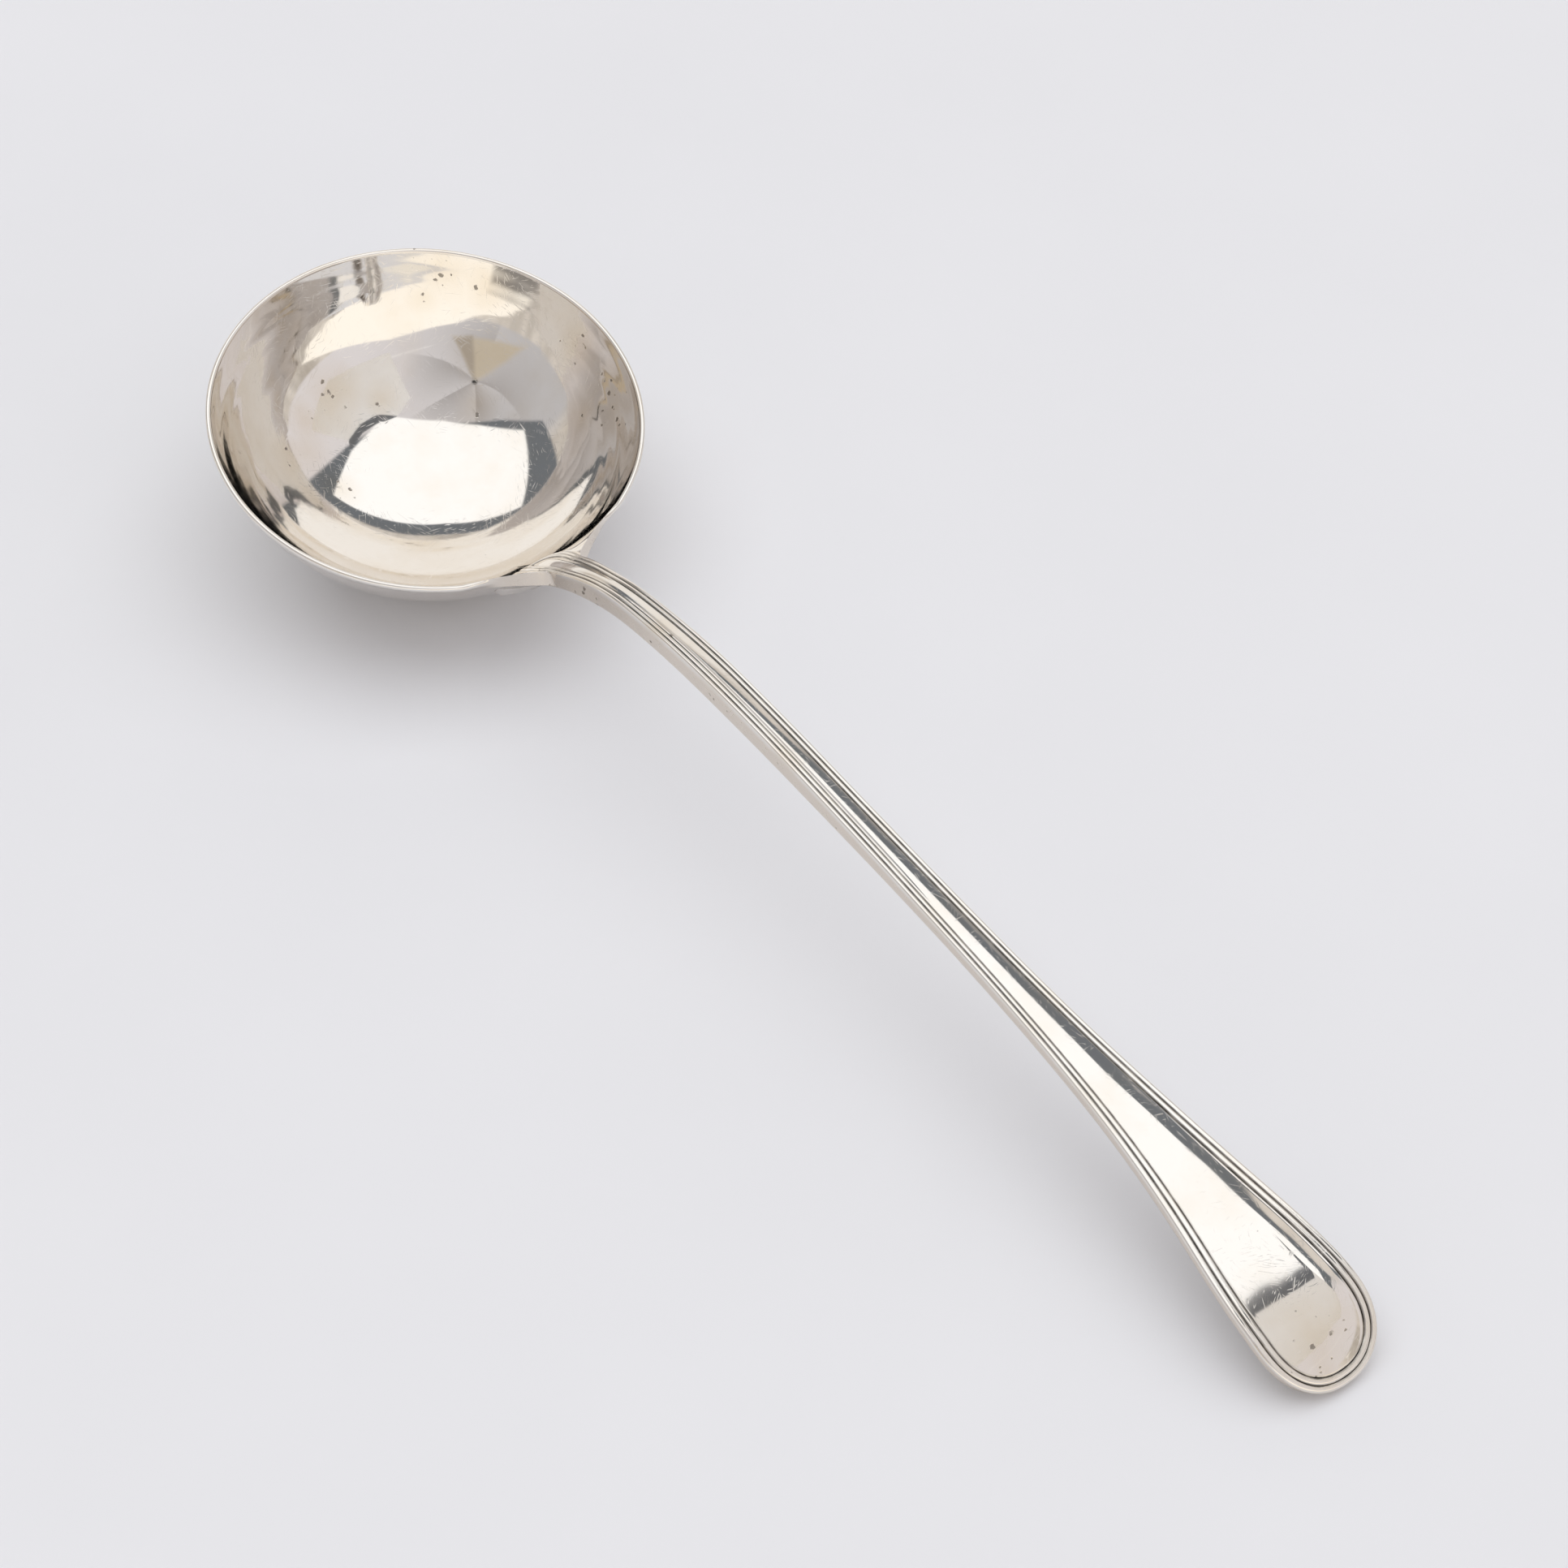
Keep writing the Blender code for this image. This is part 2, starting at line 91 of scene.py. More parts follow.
class LadleSizes(PropertyGroup):
    """Sizes of the ladle."""
    rim_radius: length("Rim radius", "Middle of the bowl to the outside of its rim", 0.0479)
    rim_tilt: slope("Rim tilt", "How far the rim leans down toward the handle", 10.1)
    rim_width: length("Rim width", "Thickness of the rounded rim", 0.0012)
    rim_fall: length("Rim fall", "Height over which the rim runs out into the wall", 0.0034)
    bowl_radius: length("Bowl radius", "Radius of the outside of the bowl's wall", 0.0499)
    bowl_rise: length("Bowl centre rise", "Height of the wall's centre over the rim", 0.0151)
    bowl_wall: length("Bowl wall", "Thickness of the bowl's wall", 0.0013)
    root_half_width: length("Root half width", "Half of the handle's width at the seam", 0.00405)
    neck_half_width: length("Neck half width", "Half of the width just past the seam", 0.00335)
    stem_half_width: length("Stem half width", "Half of the width at the crest", 0.00365)
    waist_half_width: length("Waist half width", "Half of the width where the blade starts",
                             0.00445)
    flare_half_width: length("Flare half width", "Half of the width below the end", 0.0102)
    blade_half_width: length("Blade half width", "Half of the width at the end", 0.01345)
    root_thickness: length("Root thickness", "Thickness of the handle at the seam", 0.0041)
    crest_thickness: length("Crest thickness", "Thickness of the handle at its crest", 0.0055)
    blade_thickness: length("Blade thickness", "Thickness of the handle near its end", 0.0026)
    stem_border: length("Stem border", "Width of the threads along the stem", 0.0025)
    blade_border: length("Blade border", "Width of the threads round the end", 0.0036)
    bead: length("Bead height", "Height of the threads' beads", 0.0002)
    groove: length("Groove depth", "Depth of the threads' grooves", 0.00025)
    crown: length("Panel crown", "Swell of the panel between the threads", 0.0014)
    drop_start: length("Drop start", "Root to the middle of the drop's top edge", 0.0080)
    drop_side_start: length("Drop side start", "Root to the ends of the drop's top edge", 0.0030)
    drop_length: length("Drop length", "Length of the heel drop", 0.0130)
    drop_half_width: length("Drop half width", "Half of the heel drop's width", 0.0128)
    drop_thickness: length("Drop thickness", "Thickness of the heel drop", 0.0013)


class LadleColours(PropertyGroup):
    """Colours of the ladle and of its stage."""
    silver: tint("Silver", "Polished silver", "#ECE8E3")
    warm: tint("Warm silver", "Silver with a breath of tarnish", "#E4DBCE")
    pit: tint("Pits", "Small corroded spots", "#6E665C")
    oxide: tint("Oxide", "Dark oxide in the grooves", "#35302B")
    filed: tint("Filed edge", "Silver of the edges, dull from the file", "#DFD6CB")
    table: tint("Table", "Pale table under the ladle", "#E6E7EB")
    card: tint("Card", "White card laid before the ladle", "#FFFCF4")
    bar: tint("Bar", "Dark bar along the near side of the light box", "#7C8085")
    flap: tint("Flap", "Pale cloth hung beyond the bar", "#F8F8F7")


class LadleStage(PropertyGroup):
    """Camera and light."""
    lens: FloatProperty(name="Lens", description="Focal length on a 36 mm sensor",
                        default=LENS, min=1.0, unit="CAMERA")
    turn: slope("Camera turn", "Angle of the camera round the table", 51.8)
    lift: slope("Camera lift", "Angle of the camera over the table", 47.0)
    place: FloatVectorProperty(name="Camera place", description="Where the camera stands",
                               default=(0.67038, -0.43042, 0.76911), size=3, unit="LENGTH")
    box_light: FloatProperty(name="Light box", description="Brightness of the light box",
                             default=1.58, min=0.0)
    box_shine: FloatProperty(name="Light box in silver", min=0.0, default=1.22,
                             description="Brightness of the light box where metal mirrors it")
    tent_light: FloatProperty(name="Tent", description="Brightness of the cloth round the table",
                              default=1.0, min=0.0)


# Shapes

RIM_ROUND = 0.6 * MM
REST_FLAT = 0.3 * MM
SHOULDER_ANGLE = math.radians(26.0)
SHOULDER_RISE = 2.6 * MM
SHOULDER_REACH = 10.5 * MM
CORNER_REACH = 3.2 * MM
RIM_BLEND = math.radians(14.0)
RAMP_BLEND = math.radians(36.0)
HEEL_BLEND = math.radians(26.0)
RAMP_HOLD = 0.7
RIM_FLARE = math.radians(9.0)
# Places along the shoulder where its rounding starts and where its filing starts to end
ROUNDED_FROM = 1.7
FILED_UNTIL = 1.6

SEAM = np.array([0.0487, 0.0, 0.02855])
SEAM_SPACE = 0.44 * MM
SEAM_LAP = 0.03 * MM
ROOT_SLOPE = math.radians(30.0)
BENDS = (
    (0.027, math.radians(7.0)),
    (0.032, math.radians(-3.6)),
    (0.026, math.radians(-7.1)),
    (0.093, math.radians(-7.1)),
    (0.056, math.radians(-15.2)),
    (0.0218, math.radians(-50.0)),
)
END_STATION = sum(part for part, turn in BENDS)
CREST_STATION = BENDS[0][0] + BENDS[1][0]
BLADE_END = 16.0 * MM
BLADE_END_POWER = 2.2
BLADE_STATION = END_STATION - BLADE_END
FLARE_STATION = BLADE_STATION - 0.028
WAIST_STATION = FLARE_STATION - 0.070
FLARE_SPREAD = 0.155
WAIST_SPREAD = 0.022
NECK_LENGTH = 16.0 * MM
NECK_THICKNESS = 5.1 * MM
WAIST_THICKNESS = 3.4 * MM
TIP_THICKNESS = 2.9 * MM
EDGE_DROP = 0.35 * MM
EDGE_FADE = 0.28 * MM
EDGE_OXIDE = 0.7
EDGE_OXIDE_REACH = 0.2 * MM
EDGE_SWELL = 0.04 * MM
UNDER_ROUND = 0.8 * MM
RIDGE = 0.35
CROWN_POWER = 0.7
# Where the panel's soft ridge runs: station, share of the half width off the middle
RIDGE_LINE = (
    (0.0, 0.0), (0.045, -0.75), (0.090, -0.75), (0.110, -0.60), (0.150, -0.35),
    (0.170, -0.30), (0.190, 0.0), (0.205, 0.15), (0.226, 0.45), (BLADE_STATION, 0.55),
)

# Threads: middles and half widths of the two beads as shares of the border, then middles
# and reach of the oxide in the two grooves
OUTER_BEAD = (0.20, 0.22)
INNER_BEAD = (0.63, 0.21)
GROOVES = ((0.42, 0.105), (0.84, 0.120))

# Round end of the threads on the ramp into the bowl
TONGUE_START = 7.0 * MM
TONGUE_LENGTH = 14.0 * MM
TONGUE_HALF_WIDTH = 4.6 * MM
TONGUE_FADE = 0.7
# Where threads can lie in the bowl: from x on, to each side, and out past their edge
THREAD_FIELD = (22.0 * MM, 8.0 * MM, 1.2 * MM)

# Heel drop: its steps as share of the height, start and run in from the edge
DROP_STEPS = ((0.45, 0.0, 0.25 * MM), (0.35, 1.1 * MM, 0.3 * MM), (0.20, 0.0, 6.0 * MM))
DROP_END_HALF_WIDTH = 3.0 * MM
DROP_END_SLANT = 0.7
DROP_TOP_SHARE = 0.25
DROP_TOP_REACH = 0.5
DROP_BED = 0.15 * MM
DROP_CROWDING = 1.6
DROP_OXIDE = 0.8

# How many steps the meshes are cut into
PANEL_STEPS, SIDE_STEPS, CORNER_STEPS, UNDER_STEPS = 20, 4, 5, 4
STEM_STEPS, END_STEPS = 300, 64
ROUND_STEPS, FALL_STEPS = 12, 8
LIP_STEPS = (40, 44, 110)
FLOOR_STEPS, WALL_STEPS, OUTER_STEPS, REST_STEPS = 40, 120, 40, 30
DROP_ROWS, DROP_COLUMNS = 36, 32
SEAM_STEPS = 4
# Halvings in a search along the wall, a small step on it, and the gap that is welded shut
HALVINGS = 16
NEARBY = 0.002
WELD = 0.0005 * MM


def along_up(angle):
    """Directions along a slope in the middle plane and square to it."""
    along = np.array([math.cos(angle), 0.0, math.sin(angle)])
    return along, np.array([-along[2], 0.0, along[0]])


STUB_ALONG, STUB_UP = along_up(ROOT_SLOPE)
STUB_END = SEAM - SEAM_SPACE * STUB_ALONG


def smooth(t):
    """Ease from 0 to 1 with flat ends."""
    t = min(max(t, 0.0), 1.0)
    return t * t * (3.0 - 2.0 * t)


def hermite(start, end, leave, arrive, t):
    """Point on a cubic with given end points and end tangents."""
    return ((1 + 2 * t) * (1 - t) ** 2 * start + t * (1 - t) ** 2 * leave
            + t * t * (3 - 2 * t) * end + t * t * (t - 1) * arrive)


def unit(vector):
    """Direction of a vector, with length 1."""
    return vector / np.linalg.norm(vector)


def through_knots(knots, station):
    """Value at a station of a smooth curve through (station, value) knots.

    A knot is level, or has as third value its spread, how fast the value grows there.
    """
    station = max(station, knots[0][0])
    for (s0, v0, *k0), (s1, v1, *k1) in zip(knots, knots[1:]):
        if station <= s1:
            span = s1 - s0
            return hermite(v0, v1, sum(k0) * span, sum(k1) * span, (station - s0) / span)
    return knots[-1][1]


def line_at(station):
    """Point on the line along the top of the handle's edges, with its slope there."""
    x, z, now = SEAM[0], SEAM[2], ROOT_SLOPE
    left = station
    for part_length, end_slope in BENDS:
        part = min(left, part_length)
        bend = (end_slope - now) * part / part_length
        if abs(bend) < 1e-9:
            x, z = x + part * math.cos(now), z + part * math.sin(now)
        else:
            radius = part / bend
            x += radius * (math.sin(now + bend) - math.sin(now))
            z += radius * (math.cos(now) - math.cos(now + bend))
        now += bend
        left -= part
        if left <= 0.0:
            break
    return np.array([x, 0.0, z]), now


def handle_point(station, across, height):
    """World point from distances along, across and above the top of the handle."""
    point, now = line_at(station)
    return point + across * SIDE + height * along_up(now)[1]


class LadleForm:
    """Shapes of the ladle's pieces, worked out from the sizes in the panel."""

    def __init__(self, sizes):
        self.sizes = sizes
        self.ahead, self.axis = along_up(-sizes.rim_tilt)
        self.centre = np.array([0.0, 0.0, sizes.bowl_radius - REST_FLAT])
        self.rim_centre = self.centre - sizes.bowl_rise * self.axis
        self.inner_radius = sizes.bowl_radius - sizes.bowl_wall
        self.threads = self.thread_table()
        self.lip_radius = sizes.rim_radius - sizes.rim_width
        self.rim = self.rim_section()
        # Knots of the half width, the thickness and the threads' border along the handle
        self.widths = (
            (0.0, sizes.root_half_width), (NECK_LENGTH, sizes.neck_half_width),
            (CREST_STATION, sizes.stem_half_width),
            (WAIST_STATION, sizes.waist_half_width, WAIST_SPREAD),
            (FLARE_STATION, sizes.flare_half_width, FLARE_SPREAD),
            (BLADE_STATION, sizes.blade_half_width))
        self.depths = (
            (0.0, sizes.root_thickness), (NECK_LENGTH, NECK_THICKNESS),
            (CREST_STATION, sizes.crest_thickness), (WAIST_STATION, WAIST_THICKNESS),
            (BLADE_STATION, sizes.blade_thickness), (END_STATION, TIP_THICKNESS))
        self.borders = (
            (0.0, sizes.stem_border), (WAIST_STATION, sizes.stem_border),
            (BLADE_STATION, sizes.blade_border))

    # Threads

    def thread_table(self):
        """Shares of the border from the edge inward, with the struck height at each."""
        bead, groove = self.sizes.bead, self.sizes.groove
        rows = []
        for degrees in range(0, 90, 15):
            turn = math.radians(degrees)
            rows.append((OUTER_BEAD[0] * (1 - math.cos(turn)),
                         bead - (bead + EDGE_DROP) * (1 - math.sin(turn))))
        for (middle, half), start in ((OUTER_BEAD, 90), (INNER_BEAD, 165)):
            for degrees in range(start, -1, -15):
                turn = math.radians(degrees)
                rows.append((middle + half * math.cos(turn),
                             (bead + groove) * math.sin(turn) - groove))
        rest = 1.0 - INNER_BEAD[0] - INNER_BEAD[1]
        for degrees in range(22, 91, 22):
            turn = math.radians(degrees * 90 / 88)
            rows.append((1.0 - rest * math.cos(turn), groove * (math.sin(turn) - 1.0)))
        return np.array(rows)

    def thread_height(self, inset, border, panel):
        """Struck height at a distance in from the edge, over a panel of a half width."""
        share = inset / border
        if share < 0.0:
            return -EDGE_DROP * math.exp(-(inset / EDGE_FADE) ** 2)
        if share > 1.0:
            return self.crown(panel) * self.crown_share((panel + border - inset) / panel)
        return float(np.interp(share, self.threads[:, 0], self.threads[:, 1]))

    def crown(self, panel):
        """Swell of the panel, less where the panel is narrow."""
        widest = self.sizes.blade_half_width - self.sizes.blade_border
        return self.sizes.crown * (max(panel, 0.0) / widest) ** CROWN_POWER

    @staticmethod
    def crown_share(out, ridge=0.0):
        """Share of the swell across the panel: 1 on its soft ridge, 0 at its edges."""
        way = (out - ridge) / (1.0 - ridge) if out > ridge else (ridge - out) / (1.0 + ridge)
        fall = [t - RIDGE * (1.0 - math.exp(-t / RIDGE)) for t in (way, 1.0)]
        return 1.0 - fall[0] / fall[1]

    @staticmethod
    def groove_shade(inset, border):
        """How much oxide lies at a distance in from the edge."""
        share = inset / border
        shade = max(max(0.0, 1.0 - abs(share - place) / reach) for place, reach in GROOVES)
        if share < 0.0:
            shade = max(shade, EDGE_OXIDE * math.exp(-(inset / EDGE_OXIDE_REACH) ** 2))
        return shade

    # Handle

    def handle_rib(self, spine, station, across, side=1.0):
        """Points of one side from the middle of the panel to the middle below.

        With them come their oxide and whether they lie on the filed edge.
        """
        reach = math.hypot(station - spine, across)
        along, aside = (station - spine) / reach, side * across / reach
        border, depth = (through_knots(knots, station) for knots in (self.borders, self.depths))
        panel = reach - border
        wide, edge = (through_knots(knots, spine) for knots in (self.widths, self.borders))
        swell = self.crown(wide - edge)
        ridge = through_knots(RIDGE_LINE, spine)
        swell *= self.crown_share(0.0, ridge)
        ridge *= abs(aside)
        swell /= self.crown_share(0.0, ridge)
        section = [(panel * i / PANEL_STEPS,
                    swell * self.crown_share(side * i / PANEL_STEPS, ridge), 0.0, 0.0)
                   for i in range(PANEL_STEPS)]
        section += [(reach - share * border, height, self.groove_shade(share * border, border),
                     0.0) for share, height in self.threads[::-1]]
        low = UNDER_ROUND - depth
        section += [(reach + EDGE_SWELL * math.sin(math.pi * i / SIDE_STEPS),
                     -EDGE_DROP + (low + EDGE_DROP) * i / SIDE_STEPS, 0.0, 1.0)
                    for i in range(1, SIDE_STEPS + 1)]
        for i in range(1, CORNER_STEPS + 1):
            turn = 0.5 * math.pi * i / CORNER_STEPS
            section.append((reach - UNDER_ROUND * (1 - math.cos(turn)),
                            low - UNDER_ROUND * math.sin(turn), 0.0, 1.0 - i / CORNER_STEPS))
        section += [((reach - UNDER_ROUND) * (1 - i / UNDER_STEPS), -depth, 0.0, 0.0)
                    for i in range(1, UNDER_STEPS + 1)]
        points = [handle_point(spine + along * out, aside * out, height)
                  for out, height, *_ in section]
        return points, [part[2] for part in section], [part[3] for part in section]

    def handle_ribs(self, side):
        """Ribs of one side of the handle from the seam to its end."""
        ribs = []
        for i in range(STEM_STEPS + 1):
            station = BLADE_STATION * i / STEM_STEPS
            wide = through_knots(self.widths, station)
            ribs.append(self.handle_rib(station, station, wide, side))
        power = 2 / BLADE_END_POWER
        for i in range(1, END_STEPS + 1):
            turn = 0.5 * math.pi * i / END_STEPS
            ahead = BLADE_END * math.sin(turn) ** power
            across = self.sizes.blade_half_width * max(math.cos(turn), 0.0) ** power
            ribs.append(self.handle_rib(BLADE_STATION, BLADE_STATION + ahead,
                                        across if i < END_STEPS else 0.0, side))
        return ribs

    # Bowl

    def rim_point(self, angle, radius, height):
        """World point from an angle round the rim, a radius and a height over the rim."""
        outward = math.cos(angle) * self.ahead + math.sin(angle) * SIDE
        return self.rim_centre + radius * outward + height * self.axis

    def rim_section(self):
        """Outward and upward steps of the rim from its inner edge to the outer wall."""
        s = self.sizes
        half = 0.5 * s.rim_width
        steps = []
        for i in range(ROUND_STEPS + 1):
            turn = math.pi * (1 - i / ROUND_STEPS)
            steps.append((half + half * math.cos(turn), RIM_ROUND * math.sin(turn)))
        depth = s.bowl_rise + s.rim_fall
        wall = math.sqrt(s.bowl_radius ** 2 - depth ** 2)
        edge = np.array([s.rim_width, 0.0])
        end = np.array([wall - self.lip_radius, RIM_ROUND - s.rim_fall])
        fall = np.linalg.norm(end - edge)
        leave = np.array([0.0, -fall])
        arrive = -fall * unit(np.array([depth, wall]))
        steps += [tuple(hermite(edge, end, leave, arrive, i / FALL_STEPS))
                  for i in range(1, FALL_STEPS + 1)]
        return steps

    def shoulder(self, t):
        """Point and direction of the lip from the corner of the stub to the plain rim."""
        corner = STUB_END + self.sizes.root_half_width * SIDE
        rim = self.rim_point(SHOULDER_ANGLE, self.lip_radius, -RIM_ROUND)
        toward_root = math.sin(SHOULDER_ANGLE) * self.ahead - math.cos(SHOULDER_ANGLE) * SIDE
        a = corner - CORNER_REACH * STUB_ALONG
        b = rim + SHOULDER_REACH * toward_root + SHOULDER_RISE * self.axis
        s = 1.0 - t
        point = s ** 3 * corner + 3 * s * s * t * a + 3 * s * t * t * b + t ** 3 * rim
        along = s * s * (a - corner) + 2 * s * t * (b - a) + t * t * (rim - b)
        return point, unit(along)

    def stub_lift(self, place):
        """Lift of the stub's underside where its lower corner is rounded."""
        if place > 1.0:
            return UNDER_ROUND * (1.0 - smooth(place - 1.0))
        inset = (1.0 - place) * self.sizes.root_half_width / UNDER_ROUND
        return UNDER_ROUND * (1.0 - math.sqrt(1.0 - max(1.0 - inset, 0.0) ** 2))

    def lip(self, place):
        """Lip points at a place: 0 to 1 over the stub, 1 to 2 shoulder, 2 to 3 plain rim.

        The second value is how far the lip has changed from stub to rim.
        """
        count = len(self.rim) - 1
        deep = self.sizes.root_thickness - self.stub_lift(place)
        drops = [-deep * i / count for i in range(count + 1)]
        if place <= 1.0:
            top = STUB_END + place * self.sizes.root_half_width * SIDE
            return [top + drop * STUB_UP for drop in drops], 0.0
        if place >= 2.0:
            angle = SHOULDER_ANGLE + (math.pi - SHOULDER_ANGLE) * (place - 2.0)
            return [self.rim_point(angle, self.lip_radius + out, rise - RIM_ROUND)
                    for out, rise in self.rim], 1.0
        top, along = self.shoulder(place - 1.0)
        change = smooth(place - 1.0)
        rounded = smooth((place - ROUNDED_FROM) / (2.0 - ROUNDED_FROM))
        up = unit((1.0 - change) * STUB_UP + change * self.axis)
        outward = unit(np.cross(along, up))
        points = []
        for i, (out, rise) in enumerate(self.rim):
            side = (1.0 - change) * drops[i] + change * self.rim[-1][1] * i / count
            height = (1.0 - rounded) * side + rounded * rise
            points.append(top + rounded * out * outward + height * up)
        return points, change

    def sphere_point(self, radius, turn, flat):
        """Point of a round wall at an angle up from its lowest point."""
        return self.centre + radius * (math.sin(turn) * flat - math.cos(turn) * UP)

    def wall_path(self, edge, sphere, blend, change, hold, flare):
        """Curve of the wall from its blend to the edge, with its angle and its way out."""
        arm = edge - self.centre
        flat = unit(np.array([arm[0], arm[1], 0.0]))
        edge_angle = math.atan2(math.hypot(arm[0], arm[1]), -arm[2])
        angle = edge_angle - blend
        start = self.sphere_point(sphere, angle, flat)
        leave = math.cos(angle) * flat + math.sin(angle) * UP
        lean = edge_angle - flare
        climb = math.cos(lean) * flat + math.sin(lean) * UP
        arrive = unit(change * climb + (1.0 - change) * STUB_ALONG)
        chord = np.linalg.norm(edge - start)
        reach = chord * (1.0 + hold * (1.0 - change))
        return (lambda t: hermite(start, edge, chord * leave, reach * arrive, t)), angle, flat

    def outer_path(self, place):
        """Curve of the outer wall from its blend to the edge."""
        edges, change = self.lip(place)
        blend = HEEL_BLEND + change * (RIM_BLEND - HEEL_BLEND)
        return self.wall_path(edges[-1], self.sizes.bowl_radius, blend, change, 0.0, 0.0)

    def bowl_column(self, place):
        """Points from the middle of the inside up to the lip and down the outside."""
        edges, change = self.lip(place)
        blend = RAMP_BLEND + change * (RIM_BLEND - RAMP_BLEND)
        path, angle, flat = self.wall_path(edges[0], self.inner_radius, blend, change,
                                           RAMP_HOLD, RIM_FLARE)
        column = [self.sphere_point(self.inner_radius, angle * i / FLOOR_STEPS, flat)
                  for i in range(1, FLOOR_STEPS)]
        column += [path(i / WALL_STEPS) for i in range(WALL_STEPS)]
        inside = len(column) + 1
        column += edges
        path, angle, flat = self.outer_path(place)
        column += [path(1.0 - i / OUTER_STEPS) for i in range(1, OUTER_STEPS + 1)]
        radius = self.sizes.bowl_radius
        rest = math.acos(self.centre[2] / radius)
        column += [self.sphere_point(radius, angle + (rest - angle) * i / REST_STEPS, flat)
                   for i in range(1, REST_STEPS + 1)]
        return column, inside

    def tongue_inset(self, point):
        """Distance in from the threads' round end, half width there, distance to the seam."""
        along = float((point - STUB_END) @ STUB_ALONG)
        widen = smooth(-along / TONGUE_START)
        root = self.sizes.root_half_width
        wide = root + (TONGUE_HALF_WIDTH - root) * widen
        if along >= -TONGUE_START:
            return wide - abs(point[1]), wide, -along
        out = math.hypot((along + TONGUE_START) / TONGUE_LENGTH, point[1] / wide)
        return (1.0 - out) * wide, wide, -along

    def bowl_grid(self):
        """Grid of the bowl's points, columns all the way round, their oxide and filing."""
        places = [part + i / steps for part, steps in enumerate(LIP_STEPS)
                  for i in range(steps)] + [3.0]
        columns = [self.bowl_column(place) for place in places]
        inside = columns[0][1]
        half = np.array([column for column, _ in columns])
        half[-1, :, 1] = 0.0
        mirrored = half[1:-1][::-1] * MIRROR
        grid = np.concatenate([half, mirrored])
        shade = np.zeros(grid.shape[:2])
        filed = np.zeros(grid.shape[:2])
        for i, place in enumerate(places):
            share = 1.0 - smooth((place - FILED_UNTIL) / (2.0 - FILED_UNTIL))
            for k in (i, -i):
                filed[k, inside:inside + len(self.rim) - 1] = share
        around = np.roll(grid, -1, axis=0) - np.roll(grid, 1, axis=0)
        upward = np.gradient(grid, axis=1)
        normals = np.cross(around, upward)
        normals /= np.linalg.norm(normals, axis=2, keepdims=True) + 1e-12
        normals[:, inside - 1] = normals[:, inside - 2]
        for i in range(len(grid)):
            for k in range(FLOOR_STEPS, inside):
                point = grid[i, k]
                if point[0] < THREAD_FIELD[0] or abs(point[1]) > THREAD_FIELD[1]:
                    continue
                inset, wide, far = self.tongue_inset(point)
                if inset < -THREAD_FIELD[2]:
                    continue
                border = self.sizes.stem_border
                height = self.thread_height(inset, border, wide - border)
                if inset < OUTER_BEAD[0] * border and height < 0.0:
                    height *= 1.0 - TONGUE_FADE * smooth(far / TONGUE_START)
                shade[i, k] = self.groove_shade(inset, border)
                grid[i, k] = point - height * normals[i, k]
        return grid, shade, filed

    # Heel drop

    def place_across(self, distance, share):
        """Place on the outer wall at a distance from the middle plane."""
        near, far = 0.0, 2.0
        for _ in range(HALVINGS):
            place = 0.5 * (near + far)
            if self.outer_path(place)[0](share)[1] < distance:
                near = place
            else:
                far = place
        return near

    def drop_grid(self):
        """Upper and lower points of the heel drop with its two steps, one half."""
        s = self.sizes
        heel = self.outer_path(0.0)[0]
        heel_length = np.linalg.norm(heel(1.0) - heel(0.0))
        low, high = [], []
        narrowing = s.drop_half_width - DROP_END_HALF_WIDTH
        for i in range(DROP_ROWS + 1):
            down = i / DROP_ROWS
            width = DROP_END_HALF_WIDTH + narrowing * math.sqrt(1.0 - down ** 4)
            lows, highs = [], []
            for k in range(DROP_COLUMNS + 1):
                out = 1.0 - (1.0 - k / DROP_COLUMNS) ** DROP_CROWDING
                start = s.drop_start + (s.drop_side_start - s.drop_start) * out ** 2
                share = 1.0 - (start + s.drop_length * down) / heel_length
                place = self.place_across(width * out, share)
                path = self.outer_path(place)[0]
                point = path(share)
                aside = self.outer_path(place + NEARBY)[0](share) - point
                normal = unit(np.cross(aside, path(share + NEARBY) - point))
                edge = min(width * (1.0 - out), s.drop_length * down,
                           DROP_END_SLANT * s.drop_length * (1.0 - down))
                rise = sum(part * smooth((edge - inset) / run) for part, inset, run in DROP_STEPS)
                rise *= DROP_TOP_SHARE + (1.0 - DROP_TOP_SHARE) * smooth(down / DROP_TOP_REACH)
                lows.append(point - DROP_BED * normal)
                highs.append(point + s.drop_thickness * rise * normal)
            low.append(lows)
            high.append(highs)
        return np.array(low), np.array(high)


# Meshes

def grid_faces(columns, rows, wrap):
    """Quads of a grid of points that may close round on itself."""
    faces = []
    for i in range(columns if wrap else columns - 1):
        j = (i + 1) % columns
        for k in range(rows - 1):
            faces.append((i * rows + k, i * rows + k + 1, j * rows + k + 1, j * rows + k))
    return faces


# Patches where pits gather: middle and radius in millimetres
BOWL_WEAR = (
    (-37, -3, 18, 9), (-19, 24, 12, 6), (-38, 28, 37, 10), (-30, 36, 34, 7), (12, 40, 24, 11),
    (4, 37, 18, 7), (-28, -20, 15, 7), (-32, 7, 14, 5), (-28, -15, 13, 7), (-34, -12, 17, 7),
    (-5, 43, 28, 7), (9, 42, 26, 8), (15, 38, 24, 7), (-20, -13, 7, 6), (-38, 24, 31, 5),
    (49, -4, 24, 4), (45, -6, 23, 5),
)
HANDLE_WEAR = (
    (291, -2, 8, 15), (294, -3, 5, 7), (290, -2, 9, 7), (50, -2, 28, 3), (60, -3, 29, 7),
    (84, -2, 37, 5), (104, -4, 34, 8), (128, -4, 33, 6),
)


